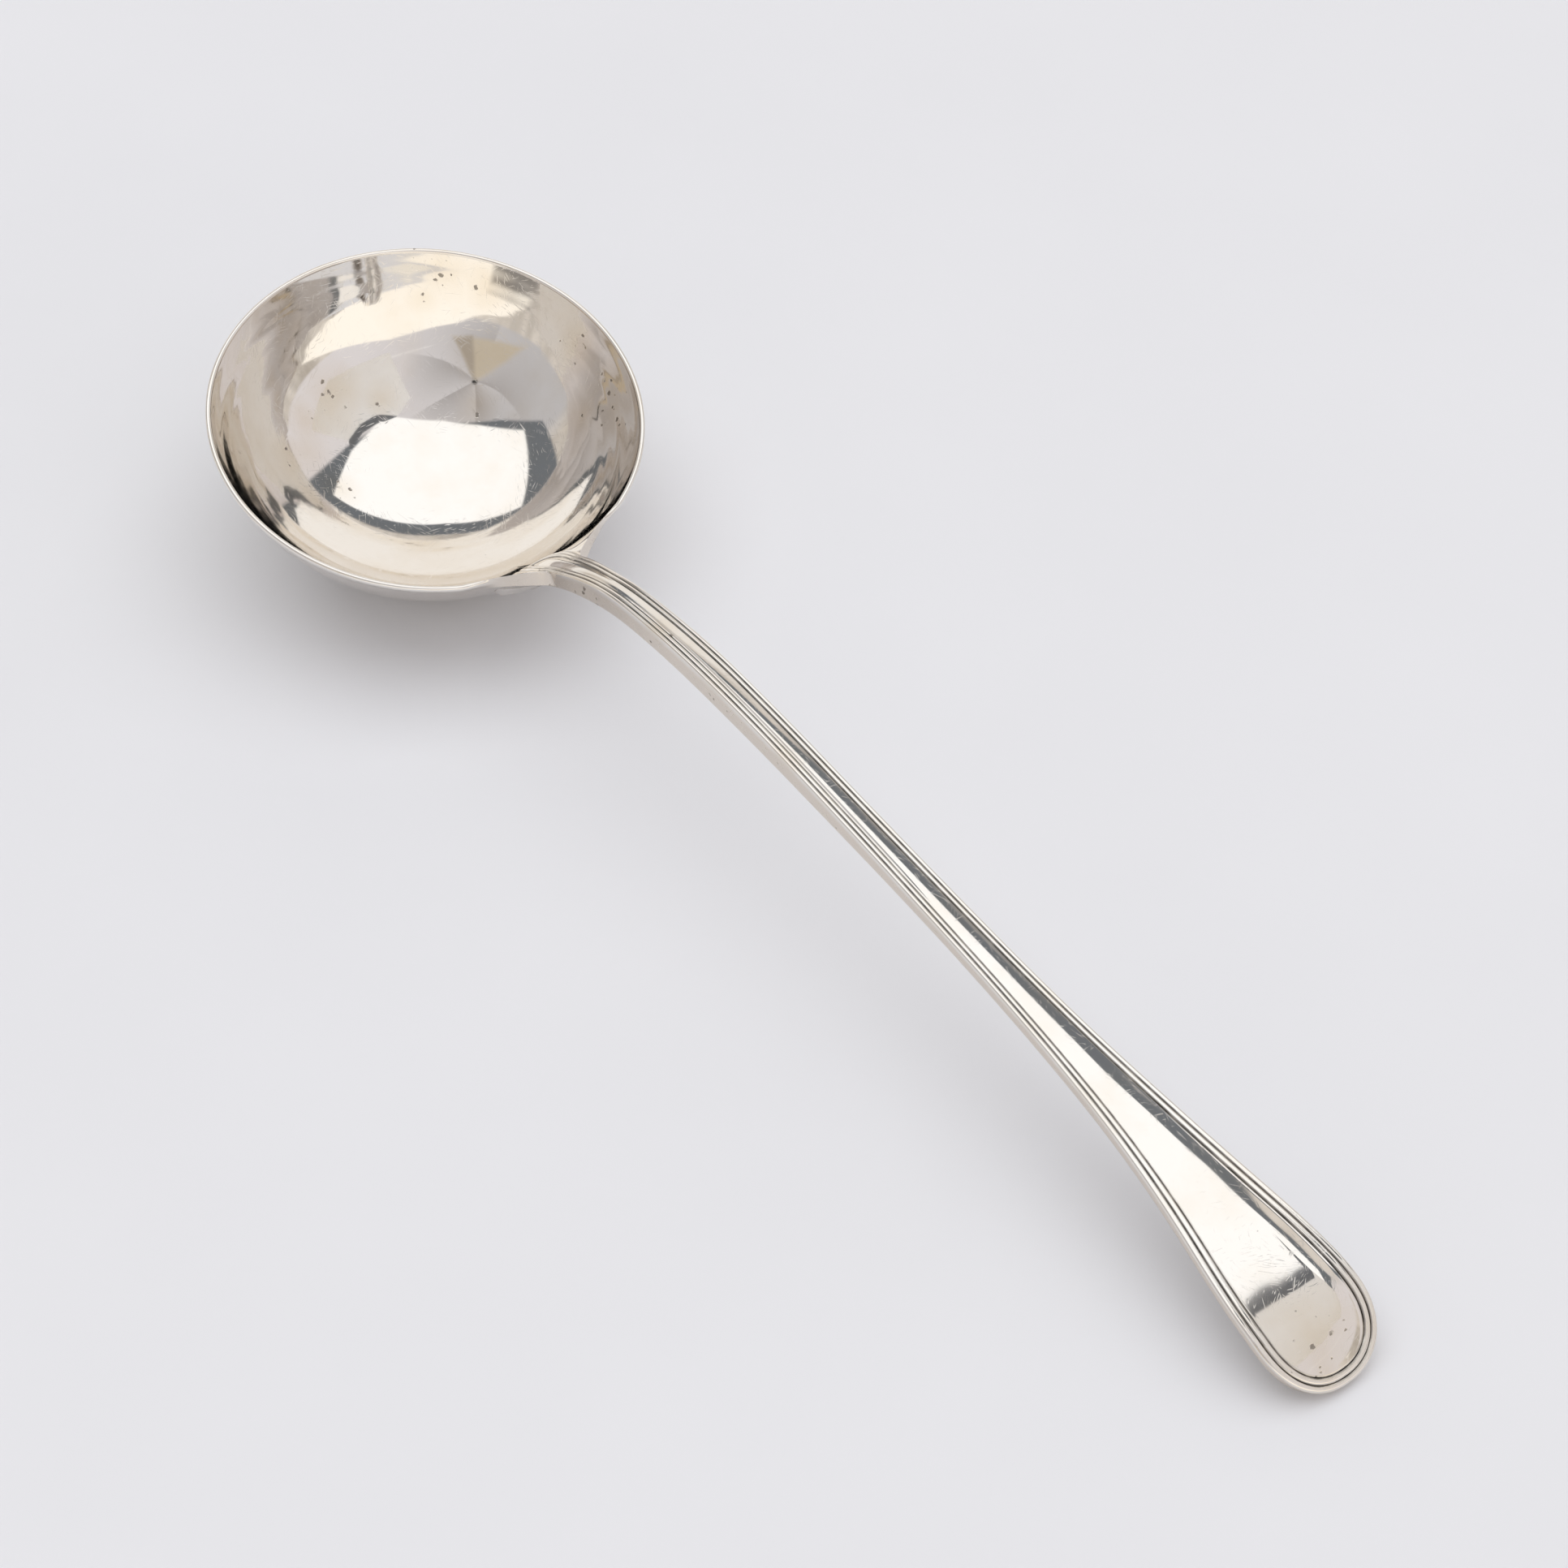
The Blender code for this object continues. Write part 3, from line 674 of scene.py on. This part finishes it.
def patch_shares(points, patches):
    """How deep each point lies inside the patches, 1 in their middles."""
    share = np.zeros(len(points))
    for x, y, z, radius in patches:
        gap = np.linalg.norm(points - MM * np.array((x, y, z)), axis=1)
        share = np.maximum(share, 1.0 - gap / (radius * MM))
    return share


def make_piece(name, points, faces, shade, filed, wear, material, node, sharp=40.0):
    """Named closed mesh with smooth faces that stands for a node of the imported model."""
    points = np.reshape(points, (-1, 3))
    mesh = bpy.data.meshes.new(name)
    mesh.from_pydata([tuple(p) for p in points], [], faces)
    values = {"oxide": shade, "filed": filed, "wear": patch_shares(points, wear)}
    for key, value in values.items():
        mesh.attributes.new(key, "FLOAT", "POINT").data.foreach_set(
            "value", np.ravel(value).astype(np.float32))
    edit = bmesh.new()
    edit.from_mesh(mesh)
    bmesh.ops.remove_doubles(edit, verts=edit.verts, dist=WELD)
    bmesh.ops.recalc_face_normals(edit, faces=edit.faces)
    loose = [edge for edge in edit.edges if len(edge.link_faces) != 2]
    edit.to_mesh(mesh)
    edit.free()
    if loose:
        raise RuntimeError(f"{name} is not closed: {len(loose)} open edges")
    mesh.shade_smooth()
    mesh.set_sharp_from_angle(angle=math.radians(sharp))
    mesh.materials.append(material)
    piece = bpy.data.objects.new(name, mesh)
    bpy.context.scene.collection.objects.link(piece)
    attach(piece, "root")
    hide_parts(node)
    return piece


# Materials

def add_node(tree, kind, inputs=(), out=0, **settings):
    """Adds one shader node, with its settings, and with values or links for its inputs.

    Gives back the socket that the next node takes. A list fills the inputs in order.
    """
    made = tree.nodes.new("ShaderNode" + kind)
    for key, value in settings.items():
        setattr(made, key, value)
    for key, value in inputs.items() if isinstance(inputs, dict) else enumerate(inputs):
        if isinstance(value, NodeSocket):
            tree.links.new(value, made.inputs[key])
        else:
            made.inputs[key].default_value = value
    return made.outputs[out] if made.outputs else None


def start_nodes(owner):
    """Clears the nodes of a material or of the world; gives back what adds new ones there."""
    owner.use_nodes = True
    owner.node_tree.nodes.clear()
    return partial(add_node, owner.node_tree)


def per_metre(millimetres):
    """Pattern scale for a feature of a size in millimetres."""
    return 1.0 / (millimetres * MM)


# Level way across the bowl that points at the middles of its two flanks
FLANKS = (0.62, 0.79, 0.0)


def worn_silver(name, colours, rough, pits, waves, scratches, rings=0.0):
    """Silver with polish marks, fine scratches, corroded pits and oxide in its grooves."""
    material = bpy.data.materials.new(name)
    node = start_nodes(material)
    place = node("TexCoord", out="Object")
    worn, filed, groove = [node("Attribute", out="Fac", attribute_name=key)
                           for key in ("wear", "filed", "oxide")]

    # Breath of warm tarnish in soft clouds about 14 mm across, thicker in worn patches
    cloud = node("TexNoise", {
        "Vector": place, "Scale": per_metre(14.0), "Detail": 4.0, "Roughness": 0.55})
    breath = node("MapRange", {
        "Value": cloud, "From Min": 0.45, "From Max": 0.75, "To Max": 0.55})
    breath = node("Math", [worn, 0.9, breath], operation="MULTIPLY_ADD", use_clamp=True)

    # Pits of about 0.6 mm that gather in worn patches and on the filed edges
    bent = node("TexNoise", {"Vector": place, "Scale": per_metre(1.1), "Detail": 2.0}, out="Color")
    bent = node("VectorMath", [bent, (1.1 * MM,) * 3, place], operation="MULTIPLY_ADD")
    spots = node("TexVoronoi", {"Vector": bent, "Scale": per_metre(2.0)}, out="Distance")
    patch = node("TexNoise", {
        "Vector": place, "Scale": per_metre(4.0), "Detail": 3.0, "Roughness": 0.6})
    for share, gain in ((worn, 0.35), (filed, 0.09)):
        patch = node("Math", [share, gain, patch], operation="MULTIPLY_ADD")
    reach = node("MapRange", {
        "Value": patch, "From Min": 0.58, "From Max": 0.95, "To Min": -0.05,
        "To Max": 0.42 * pits})
    pit = node("Math", [reach, spots], operation="SUBTRACT")
    pit = node("MapRange", {"Value": pit, "From Max": 0.10, "To Max": 0.75})

    # Oxide that polishing leaves in the grooves, in runs about 3 mm long
    dirt = node("TexNoise", {"Vector": place, "Scale": per_metre(3.0), "Detail": 3.0})
    dirt = node("MapRange", {"Value": dirt, "From Min": 0.25, "From Max": 0.65, "To Min": 0.45})
    dark = node("Math", [groove, dirt], operation="MULTIPLY")

    colour = (*colours.silver, 1.0)
    for share, tone in ((breath, colours.warm), (filed, colours.filed), (pit, colours.pit),
                        (dark, colours.oxide)):
        colour = node("Mix", {0: share, 6: colour, 7: (*tone, 1.0)}, out=2, data_type="RGBA")

    # Use scratches: real ones are about 0.03 mm wide, drawn 0.13 mm and 0.18 mm wide so that
    # they show. Each cell of a few millimetres turns its own way, so they cross at random.
    marks = 0.0
    for cell, wide in ((4.0, 0.13), (7.0, 0.18)):
        turns = node("TexVoronoi", {"Vector": place, "Scale": per_metre(cell)}, out="Color")
        turns = node("VectorMath", {0: turns, "Scale": 6.28}, operation="SCALE")
        strip = node("VectorRotate", {"Vector": place, "Rotation": turns},
                     rotation_type="EULER_XYZ")
        along = per_metre(20 * wide)
        strip = node("Mapping", {"Vector": strip, "Scale": (per_metre(wide), along, along)})
        line = node("TexNoise", {"Vector": strip, "Scale": 1.0, "Detail": 0.0})
        line = node("MapRange", {"Value": line, "From Min": 0.72, "From Max": 0.82})
        marks = node("Math", [marks, line], operation="MAXIMUM")

    # Roughness: mirror polish, dulled by scratches, pits, the file and oxide
    polish = node("MapRange", {
        "Value": cloud, "From Min": 0.3, "From Max": 0.8, "To Min": rough,
        "To Max": rough + 0.05})
    for share, gain in ((marks, 0.18 * scratches), (pit, 0.30), (filed, 0.16), (dark, 0.25)):
        polish = node("Math", [share, gain, polish], operation="MULTIPLY_ADD")

    # Waves that hammering and polishing left, about 11 mm apart and a few hundredths deep
    wave = node("TexNoise", {
        "Vector": place, "Scale": per_metre(11.0), "Detail": 1.5, "Roughness": 0.4})
    bumps = [(0.02 * MM * waves, wave, False)]

    # Rings that the wall was buffed along, a few millimetres apart up the bowl, stronger near
    # the rim and on its two flanks
    if rings:
        band = node("VectorRotate", {"Vector": place, "Angle": -rings}, rotation_type="Y_AXIS")
        up = node("SeparateXYZ", [band], out="Z")
        up = node("MapRange", {
            "Value": up, "From Min": 12 * MM, "From Max": 26 * MM, "To Min": 0.10})
        flank = node("VectorMath", [place, FLANKS], out="Value", operation="DOT_PRODUCT")
        flank = node("Math", [flank], operation="ABSOLUTE")
        flank = node("MapRange", {
            "Value": flank, "From Min": 22 * MM, "From Max": 42 * MM, "To Min": 0.20})
        band = node("Mapping", {
            "Vector": band, "Scale": (per_metre(70.0), per_metre(70.0), per_metre(6.0))})
        band = node("TexNoise", {"Vector": band, "Scale": 1.0, "Detail": 1.0, "Roughness": 0.45})
        for share in (up, flank):
            band = node("Math", [band, share], operation="MULTIPLY")
        bumps.append((0.75 * MM, band, False))
    bumps += [(0.006 * MM * scratches, marks, True), (0.05 * MM, pit, True)]
    under = {}
    for depth, height, sunk in bumps:
        under = {"Normal": node("Bump", {
            "Strength": 1.0, "Distance": depth, "Height": height, **under}, invert=sunk)}

    shader = node("BsdfPrincipled", {
        "Base Color": colour, "Metallic": 1.0, "Roughness": polish, **under})
    node("OutputMaterial", {"Surface": shader})
    return material


def matt_board(name, tone, glow=0.0):
    """Matt board or cloth: a plain colour, faintly cloudy; glow is light that shines through."""
    material = bpy.data.materials.new(name)
    node = start_nodes(material)
    place = node("TexCoord", out="Object")
    cloud = node("TexNoise", {"Vector": place, "Scale": per_metre(90.0), "Detail": 3.0})
    light = node("MapRange", {
        "Value": cloud, "From Min": 0.3, "From Max": 0.7, "To Min": 0.99, "To Max": 1.01})
    colour = node("VectorMath", {0: tuple(tone), "Scale": light}, operation="SCALE")
    shader = node("BsdfPrincipled", {
        "Base Color": colour, "Roughness": 0.85, "Specular IOR Level": 0.15,
        "Emission Color": colour, "Emission Strength": glow})
    node("OutputMaterial", {"Surface": shader})
    return material


# Stage

# Shapes round the table as the ladle sees them: corners in order, as the angle round the
# table from +X and the angle over the horizon, both in degrees
LIGHT_BOX = ((60, 49.5), (26.6, 56.1), (8, 60.1), (-45, 68.5), (-90, 63), (-121, 45.5),
             (-175, 35.5), (150, 50), (95, 33))
BOX_NOTCH = 7
BOX_SOFT = 0.008
BOX_FRAME = ((60, 46), (26.6, 54.3), (8, 59.3), (-77.5, 65.3), (-100, 54), (-123.7, 34.7),
             (-160, 25), (-169, 24), (150, 42), (90, 22), (75, 34))
FRAME_NOTCH = 8
FRAME_SOFT = 0.012
FRAME_TONE = (0.18, 0.195, 0.215, 1.0)
# Cloth pieces in the order they hang over each other, with brightness and softness of edge
CLOTHS = (
    (((118, 32), (150, 35), (178, 24), (178, -4), (118, -4)), (0.96, 0.93, 0.89, 1.0), 0.05),
    (((-48, 25), (-35, 29.5), (10, 29), (32, 24), (56, 13)), (0.93, 0.91, 0.91, 1.0), 0.006),
    (((-66, 45), (-88, 17), (-48, 24)), (0.60, 0.53, 0.43, 1.0), 0.025),
    (((-66, 45), (-58, 22), (-48, 25)), (0.44, 0.39, 0.33, 1.0), 0.020),
    (((-97, 14), (-48, 25), (5, 23), (56, 13), (58, 9), (-12, -6), (-60, -6), (-101, 8)),
     (1.22, 1.16, 1.06, 1.0), 0.008),
    (((-64, -3), (-64, 0.6), (-75, 2.6), (-86, 2.2), (-86, -3)), (0.30, 0.28, 0.26, 1.0), 0.030),
)
# Beige cloth in folds, and the grey cloth over it: the ways round the table along which the
# grey lightens and starts, then how far along them and up it does so
FOLD_SCALE = (7.0, 7.0, 1.2)
FOLD_TONES = ((0.34, 0.305, 0.27, 1.0), (1.00, 0.94, 0.87, 1.0))
GREY_TONES = ((0.58, 0.57, 0.585, 1.0), (0.83, 0.80, 0.82, 1.0))
GREY_WAYS = (45, -20)
GREY_SPREAD = (-0.75, 0.75)
GREY_EDGE = (0.23, 0.25)
GREY_SIDE = (-0.40, -0.25)
# Opening for the lens, its edge in degrees, and the pleats that fan out from it
LENS_HOLE = (-66, 45)
HOLE_EDGE = (1.8, 1.1)
HOLE_TONE = (0.05, 0.05, 0.05, 1.0)
PLEATS = 5
PLEAT_START = 10.35
PLEAT_SAG = -0.8
PLEAT_REACH = (0.78, 0.97)
PLEAT_TONE = (0.46, 0.44, 0.44, 1.0)

# Near side of the light box, which the handle's end mirrors from another side than the bowl
# does: height over the table, places on the plan along the inner edge of its dark bar with
# the bar's width there, and the far corners of the cloth flap beyond the bar
BAR_HEIGHT = 0.575
BAR_EDGE = ((0.292, 0.04, 0.0), (0.300, 0.12, 0.045), (0.309, 0.15, 0.050),
            (0.308, 0.19, 0.055), (0.293, 0.289, 0.060), (0.223, 0.416, 0.060))
FLAP_FAR = ((0.50, 0.90), (1.06, 0.67), (1.00, 0.17), (0.95, -0.15), (0.36, -0.08))
FLAP_GLOW = 0.13

# Table and card, turned to face the camera: middles and half lengths on the plan, heights
LOOK_AT = (0.107, 0.013)
TABLE_MIDDLE = (0.12, 0.0)
TABLE_HALF = 0.75
TABLE_HEIGHT = -0.05 * MM
CARD_OFF = (0.46, -0.18)
CARD_HALVES = (0.17, 0.33)
CARD_HEIGHT = 0.2 * MM


def toward(turn, rise):
    """Unit vector from the ladle at an angle round the table and one over the horizon."""
    turn, rise = math.radians(turn), math.radians(rise)
    return np.array([math.cos(turn) * math.cos(rise), math.sin(turn) * math.cos(rise),
                     math.sin(rise)])


def shape_mask(node, look, corners, soft, notch=None):
    """1 inside a shape with straight sides; notch is the one corner that points inward."""
    rays = [toward(*corner) for corner in corners]
    middle = sum(rays)
    sides = []
    for a, b in zip(rays, rays[1:] + rays[:1]):
        plane = unit(np.cross(a, b))
        plane *= math.copysign(1.0, plane @ middle)
        sides.append(node("VectorMath", [look, plane], out="Value", operation="DOT_PRODUCT"))
    if notch is not None:
        pair = [sides.pop(notch - 1), sides.pop(notch - 1)]
        sides.append(node("Math", pair, operation="MAXIMUM"))
    inside = sides[0]
    for side in sides[1:]:
        inside = node("Math", [inside, side], operation="MINIMUM")
    return node("MapRange", {"Value": inside, "From Min": -soft, "From Max": soft})


def light_tent(stage):
    """World light: a cloth tent with one soft light box overhead in a dark frame."""
    world = bpy.data.worlds.new("Light tent")
    node = start_nodes(world)
    look = node("TexCoord", out="Generated")

    def ramp(direction, start, end):
        """0 to 1 along a direction."""
        along = node("VectorMath", [look, direction], out="Value", operation="DOT_PRODUCT")
        return node("MapRange", {"Value": along, "From Min": start, "From Max": end})

    # Beige cloth all round with folds that run up and down, grey cloth above it
    folds = node("Mapping", {"Vector": look, "Scale": FOLD_SCALE})
    folds = node("TexNoise", {"Vector": folds, "Scale": 1.0, "Detail": 2.0, "Distortion": 0.3})
    spread, side = [toward(way, 0) for way in GREY_WAYS]
    grey = ramp(spread, *GREY_SPREAD)
    grey = node("Mix", {0: grey, 6: GREY_TONES[0], 7: GREY_TONES[1]}, out=2, data_type="RGBA")
    near = [ramp(UP, *GREY_EDGE), ramp(side, *GREY_SIDE)]
    near = node("Math", near, operation="MULTIPLY")

    # Cloth gathered round the opening for the lens: pleats that fan out from it
    hole = toward(*LENS_HOLE)
    level = unit(np.cross(UP, hole))
    aside, rise = [node("VectorMath", [look, way], out="Value", operation="DOT_PRODUCT")
                   for way in (level, np.cross(hole, level))]
    sag = node("Math", [aside, aside], operation="MULTIPLY")
    sag = node("Math", [sag, PLEAT_SAG, rise], operation="MULTIPLY_ADD")
    turn = node("Math", [aside, sag], operation="ARCTAN2")
    turn = node("Math", [turn, PLEATS / math.tau, PLEAT_START], operation="MULTIPLY_ADD")
    pleat = node("Math", [turn], operation="FRACT")
    for share in (ramp(hole, *PLEAT_REACH), near):
        pleat = node("Math", [pleat, share], operation="MULTIPLY")

    layers = [(folds, FOLD_TONES[1]), (near, grey), (pleat, PLEAT_TONE)]
    layers += [(shape_mask(node, look, corners, soft), tone) for corners, tone, soft in CLOTHS]
    edge = [math.cos(math.radians(angle)) for angle in HOLE_EDGE]
    layers.append((ramp(hole, *edge), HOLE_TONE))
    layers.append((shape_mask(node, look, BOX_FRAME, FRAME_SOFT, FRAME_NOTCH), FRAME_TONE))
    cloth = FOLD_TONES[0]
    for share, tone in layers:
        cloth = node("Mix", {0: share, 6: cloth, 7: tone}, out=2, data_type="RGBA")
    cloth = node("VectorMath", {0: cloth, "Scale": stage.tent_light}, operation="SCALE")

    # The box lights the table at one level and shows in the silver at another
    mirrored = node("LightPath", out="Is Glossy Ray")
    lamp = node("Math", [mirrored, stage.box_shine - stage.box_light, stage.box_light],
                operation="MULTIPLY_ADD")
    bright = shape_mask(node, look, LIGHT_BOX, BOX_SOFT, BOX_NOTCH)
    light = node("Mix", {0: bright, 6: cloth, 7: lamp}, out=2, data_type="RGBA")
    shine = node("Background", {"Color": light})
    node("OutputWorld", {"Surface": shine})
    return world


def lay_sheet(name, corners, height, material):
    """Flat sheet of the stage from its corners on the plan."""
    mesh = bpy.data.meshes.new(name)
    mesh.from_pydata([(x, y, height) for x, y in corners], [], [range(len(corners))])
    mesh.materials.append(material)
    sheet = bpy.data.objects.new(name, mesh)
    bpy.context.scene.collection.objects.link(sheet)
    return sheet


# Operators

class LadlePiece:
    """What the makers of the ladle's pieces share."""

    def execute(self, context):
        self.make(LadleForm(context.scene.ladle_sizes), context.scene.ladle_colours)
        return {"FINISHED"}


class LADLE_OT_bowl(LadlePiece, Operator):
    """Make the bowl with its rim band and the root that carries the handle"""
    bl_idname = "ladle.bowl"
    bl_label = "Bowl"

    def make(self, form, colours):
        grid, shade, filed = form.bowl_grid()
        columns, rows = shade.shape
        points = list(grid.reshape(-1, 3))
        faces = grid_faces(columns, rows, True)
        middle, rest = len(points), len(points) + 1
        points.append(form.centre - form.inner_radius * UP)
        points.append(np.array([0.0, 0.0, 0.0]))
        for i in range(columns):
            j = (i + 1) % columns
            faces.append((middle, i * rows, j * rows))
            faces.append((rest, j * rows + rows - 1, i * rows + rows - 1))
        # A warm mirror with soft waves and rings, a few pits and only faint scratches
        material = worn_silver("Sterling silver, raised and polished", colours, rough=0.03,
                               pits=1.0, waves=1.0, scratches=0.55, rings=form.sizes.rim_tilt)
        shade, filed = (list(values.reshape(-1)) + [0.0, 0.0] for values in (shade, filed))
        make_piece("bowl_shell", points, faces, shade, filed, BOWL_WEAR, material, "bowl")


class LADLE_OT_handle(LadlePiece, Operator):
    """Make the handle with its two struck threads and its round end"""
    bl_idname = "ladle.handle"
    bl_label = "Handle"

    def make(self, form, colours):
        right, left = form.handle_ribs(1.0), form.handle_ribs(-1.0)
        ribs = right + left[:-1][::-1]
        grid, shade, filed = (np.array(values) for values in zip(*ribs))
        grid[:, (0, -1), 1] = 0.0
        grid[len(right) - 1, :, 1] = 0.0
        columns, rows = shade.shape
        faces = grid_faces(columns, rows, False)
        faces.append([*range(rows), *range(columns * rows - 2, (columns - 1) * rows, -1)])
        # A mirror along the panel, with dark lines in the grooves and dull filed edges
        material = worn_silver("Sterling silver, forged and struck", colours, rough=0.04,
                               pits=0.9, waves=0.6, scratches=0.7)
        make_piece("handle_threaded", grid, faces, shade, filed, HANDLE_WEAR, material,
                   "handle", sharp=65.0)


class LADLE_OT_seam(LadlePiece, Operator):
    """Make the solder that joins the bowl's root to the handle"""
    bl_idname = "ladle.seam"
    bl_label = "Solder seam"

    def make(self, form, colours):
        rings = []
        for i in range(SEAM_STEPS + 1):
            station = -SEAM_SPACE - SEAM_LAP + (SEAM_SPACE + 2 * SEAM_LAP) * i / SEAM_STEPS
            half, *marks = form.handle_rib(station, station, form.sizes.root_half_width)
            half = np.array(half)
            half[(0, -1), 1] = 0.0
            ring = np.concatenate([half, half[-2:0:-1] * MIRROR])
            rings.append([ring] + [mark + mark[-2:0:-1] for mark in marks])
        points, shade, filed = (np.stack(values, axis=1) for values in zip(*rings))
        columns, rows = shade.shape
        faces = grid_faces(columns, rows, True)
        faces.append([k * rows for k in range(columns)])
        faces.append([k * rows - 1 for k in range(columns, 0, -1)])
        # A satin line across the stem, broken by pits
        material = worn_silver("Hard silver solder, filed flush", colours, rough=0.12,
                               pits=1.6, waves=0.5, scratches=1.0)
        make_piece("solder_joint", points, faces, shade, filed, HANDLE_WEAR, material,
                   "solder_seam", sharp=65.0)


class LADLE_OT_drop(LadlePiece, Operator):
    """Make the heel drop, the stepped tongue under the root"""
    bl_idname = "ladle.drop"
    bl_label = "Heel drop"

    def make(self, form, colours):
        low, high = form.drop_grid()
        low, high = (np.concatenate([part[:, :0:-1] * MIRROR, part], axis=1)
                     for part in (low, high))
        rows, columns = low.shape[:2]
        count = rows * columns
        sheet = grid_faces(rows, columns, False)
        faces = sheet + [tuple(count + v for v in reversed(face)) for face in sheet]
        order = np.arange(count).reshape(rows, columns)
        rim = [*order[0], *order[1:, -1], *order[-1, -2::-1], *order[-2:0:-1, 0]]
        for a, b in zip(rim, rim[1:] + rim[:1]):
            faces.append((a, b, count + b, count + a))
        shade = np.zeros(2 * count)
        shade[rim] = DROP_OXIDE
        # A satin step under the root with a dark line round its edge
        material = worn_silver("Sterling silver, filed and dulled", colours, rough=0.10,
                               pits=1.0, waves=0.6, scratches=1.0)
        make_piece("heel_drop_stepped", (high, low), faces, shade, shade, BOWL_WEAR, material,
                   "heel_drop", sharp=65.0)


class LADLE_OT_stage(Operator):
    """Make the table, the light tent and the camera"""
    bl_idname = "ladle.stage"
    bl_label = "Stage"

    def execute(self, context):
        scene = context.scene
        stage = scene.ladle_stage
        colours = scene.ladle_colours
        near = unit(np.array(stage.place)[:2] - LOOK_AT)
        side = np.array([-near[1], near[0]])
        corners = [(a * near, b * side) for a, b in ((-1, -1), (1, -1), (1, 1), (-1, 1))]
        # An even pale ground that takes soft shadows and shows no shine
        board = matt_board("Painted board, matt", colours.table)
        lay_sheet("table", [TABLE_MIDDLE + TABLE_HALF * (a + b) for a, b in corners],
                  TABLE_HEIGHT, board)
        # A white patch outside the picture that brightens the near sides of the silver
        card = matt_board("White card, matt", colours.card)
        middle = CARD_OFF[0] * near + CARD_OFF[1] * side
        lay_sheet("card", [middle + CARD_HALVES[0] * a + CARD_HALVES[1] * b for a, b in corners],
                  CARD_HEIGHT, card)
        inner = [(x, y) for x, y, wide in BAR_EDGE]
        outer = [(x + wide, y) for x, y, wide in BAR_EDGE]
        # A dark band in the end of the handle
        paint = matt_board("Painted bar, matt", colours.bar)
        bar = lay_sheet("light_box_bar", inner + outer[:0:-1], BAR_HEIGHT, paint)
        # A pale glow beyond the band
        cloth = matt_board("Thin hung cloth, matt", colours.flap, FLAP_GLOW)
        flap = lay_sheet("light_box_flap", outer + list(FLAP_FAR), BAR_HEIGHT, cloth)
        for sheet in (bar, flap):
            sheet.visible_camera = sheet.visible_diffuse = sheet.visible_shadow = False
        scene.world = light_tent(stage)
        lens = bpy.data.cameras.new("camera")
        lens.lens = stage.lens
        lens.sensor_width = SENSOR
        lens.clip_start = 0.01
        camera = bpy.data.objects.new("camera", lens)
        camera.location = stage.place
        camera.rotation_euler = (0.5 * math.pi - stage.lift, 0.0, stage.turn)
        scene.collection.objects.link(camera)
        scene.camera = camera
        scene.view_settings.view_transform = "Standard"
        return {"FINISHED"}


class LADLE_PT_panel(Panel):
    """Ladle pieces and their sizes"""
    bl_idname = "LADLE_PT_panel"
    bl_label = "Soup ladle"
    bl_space_type = "VIEW_3D"
    bl_region_type = "UI"
    bl_category = "Ladle"

    def draw(self, context):
        for maker in OPERATORS:
            self.layout.operator(maker.bl_idname)
        for key in GROUPS:
            box = self.layout.box()
            values = getattr(context.scene, key)
            for value in values.__annotations__:
                box.prop(values, value)


OPERATORS = (LADLE_OT_stage, LADLE_OT_bowl, LADLE_OT_handle, LADLE_OT_seam, LADLE_OT_drop)
GROUPS = {"ladle_sizes": LadleSizes, "ladle_colours": LadleColours, "ladle_stage": LadleStage}
CLASSES = (*GROUPS.values(), *OPERATORS, LADLE_PT_panel)


def register():
    for item in CLASSES:
        bpy.utils.register_class(item)
    for key, group in GROUPS.items():
        setattr(bpy.types.Scene, key, PointerProperty(type=group))


def unregister():
    for key in GROUPS:
        delattr(bpy.types.Scene, key)
    for item in reversed(CLASSES):
        bpy.utils.unregister_class(item)


def main():
    register()
    bpy.ops.ladle.stage()
    bpy.ops.ladle.bowl()
    bpy.ops.ladle.handle()
    bpy.ops.ladle.seam()
    bpy.ops.ladle.drop()


if __name__ == "__main__":
    main()
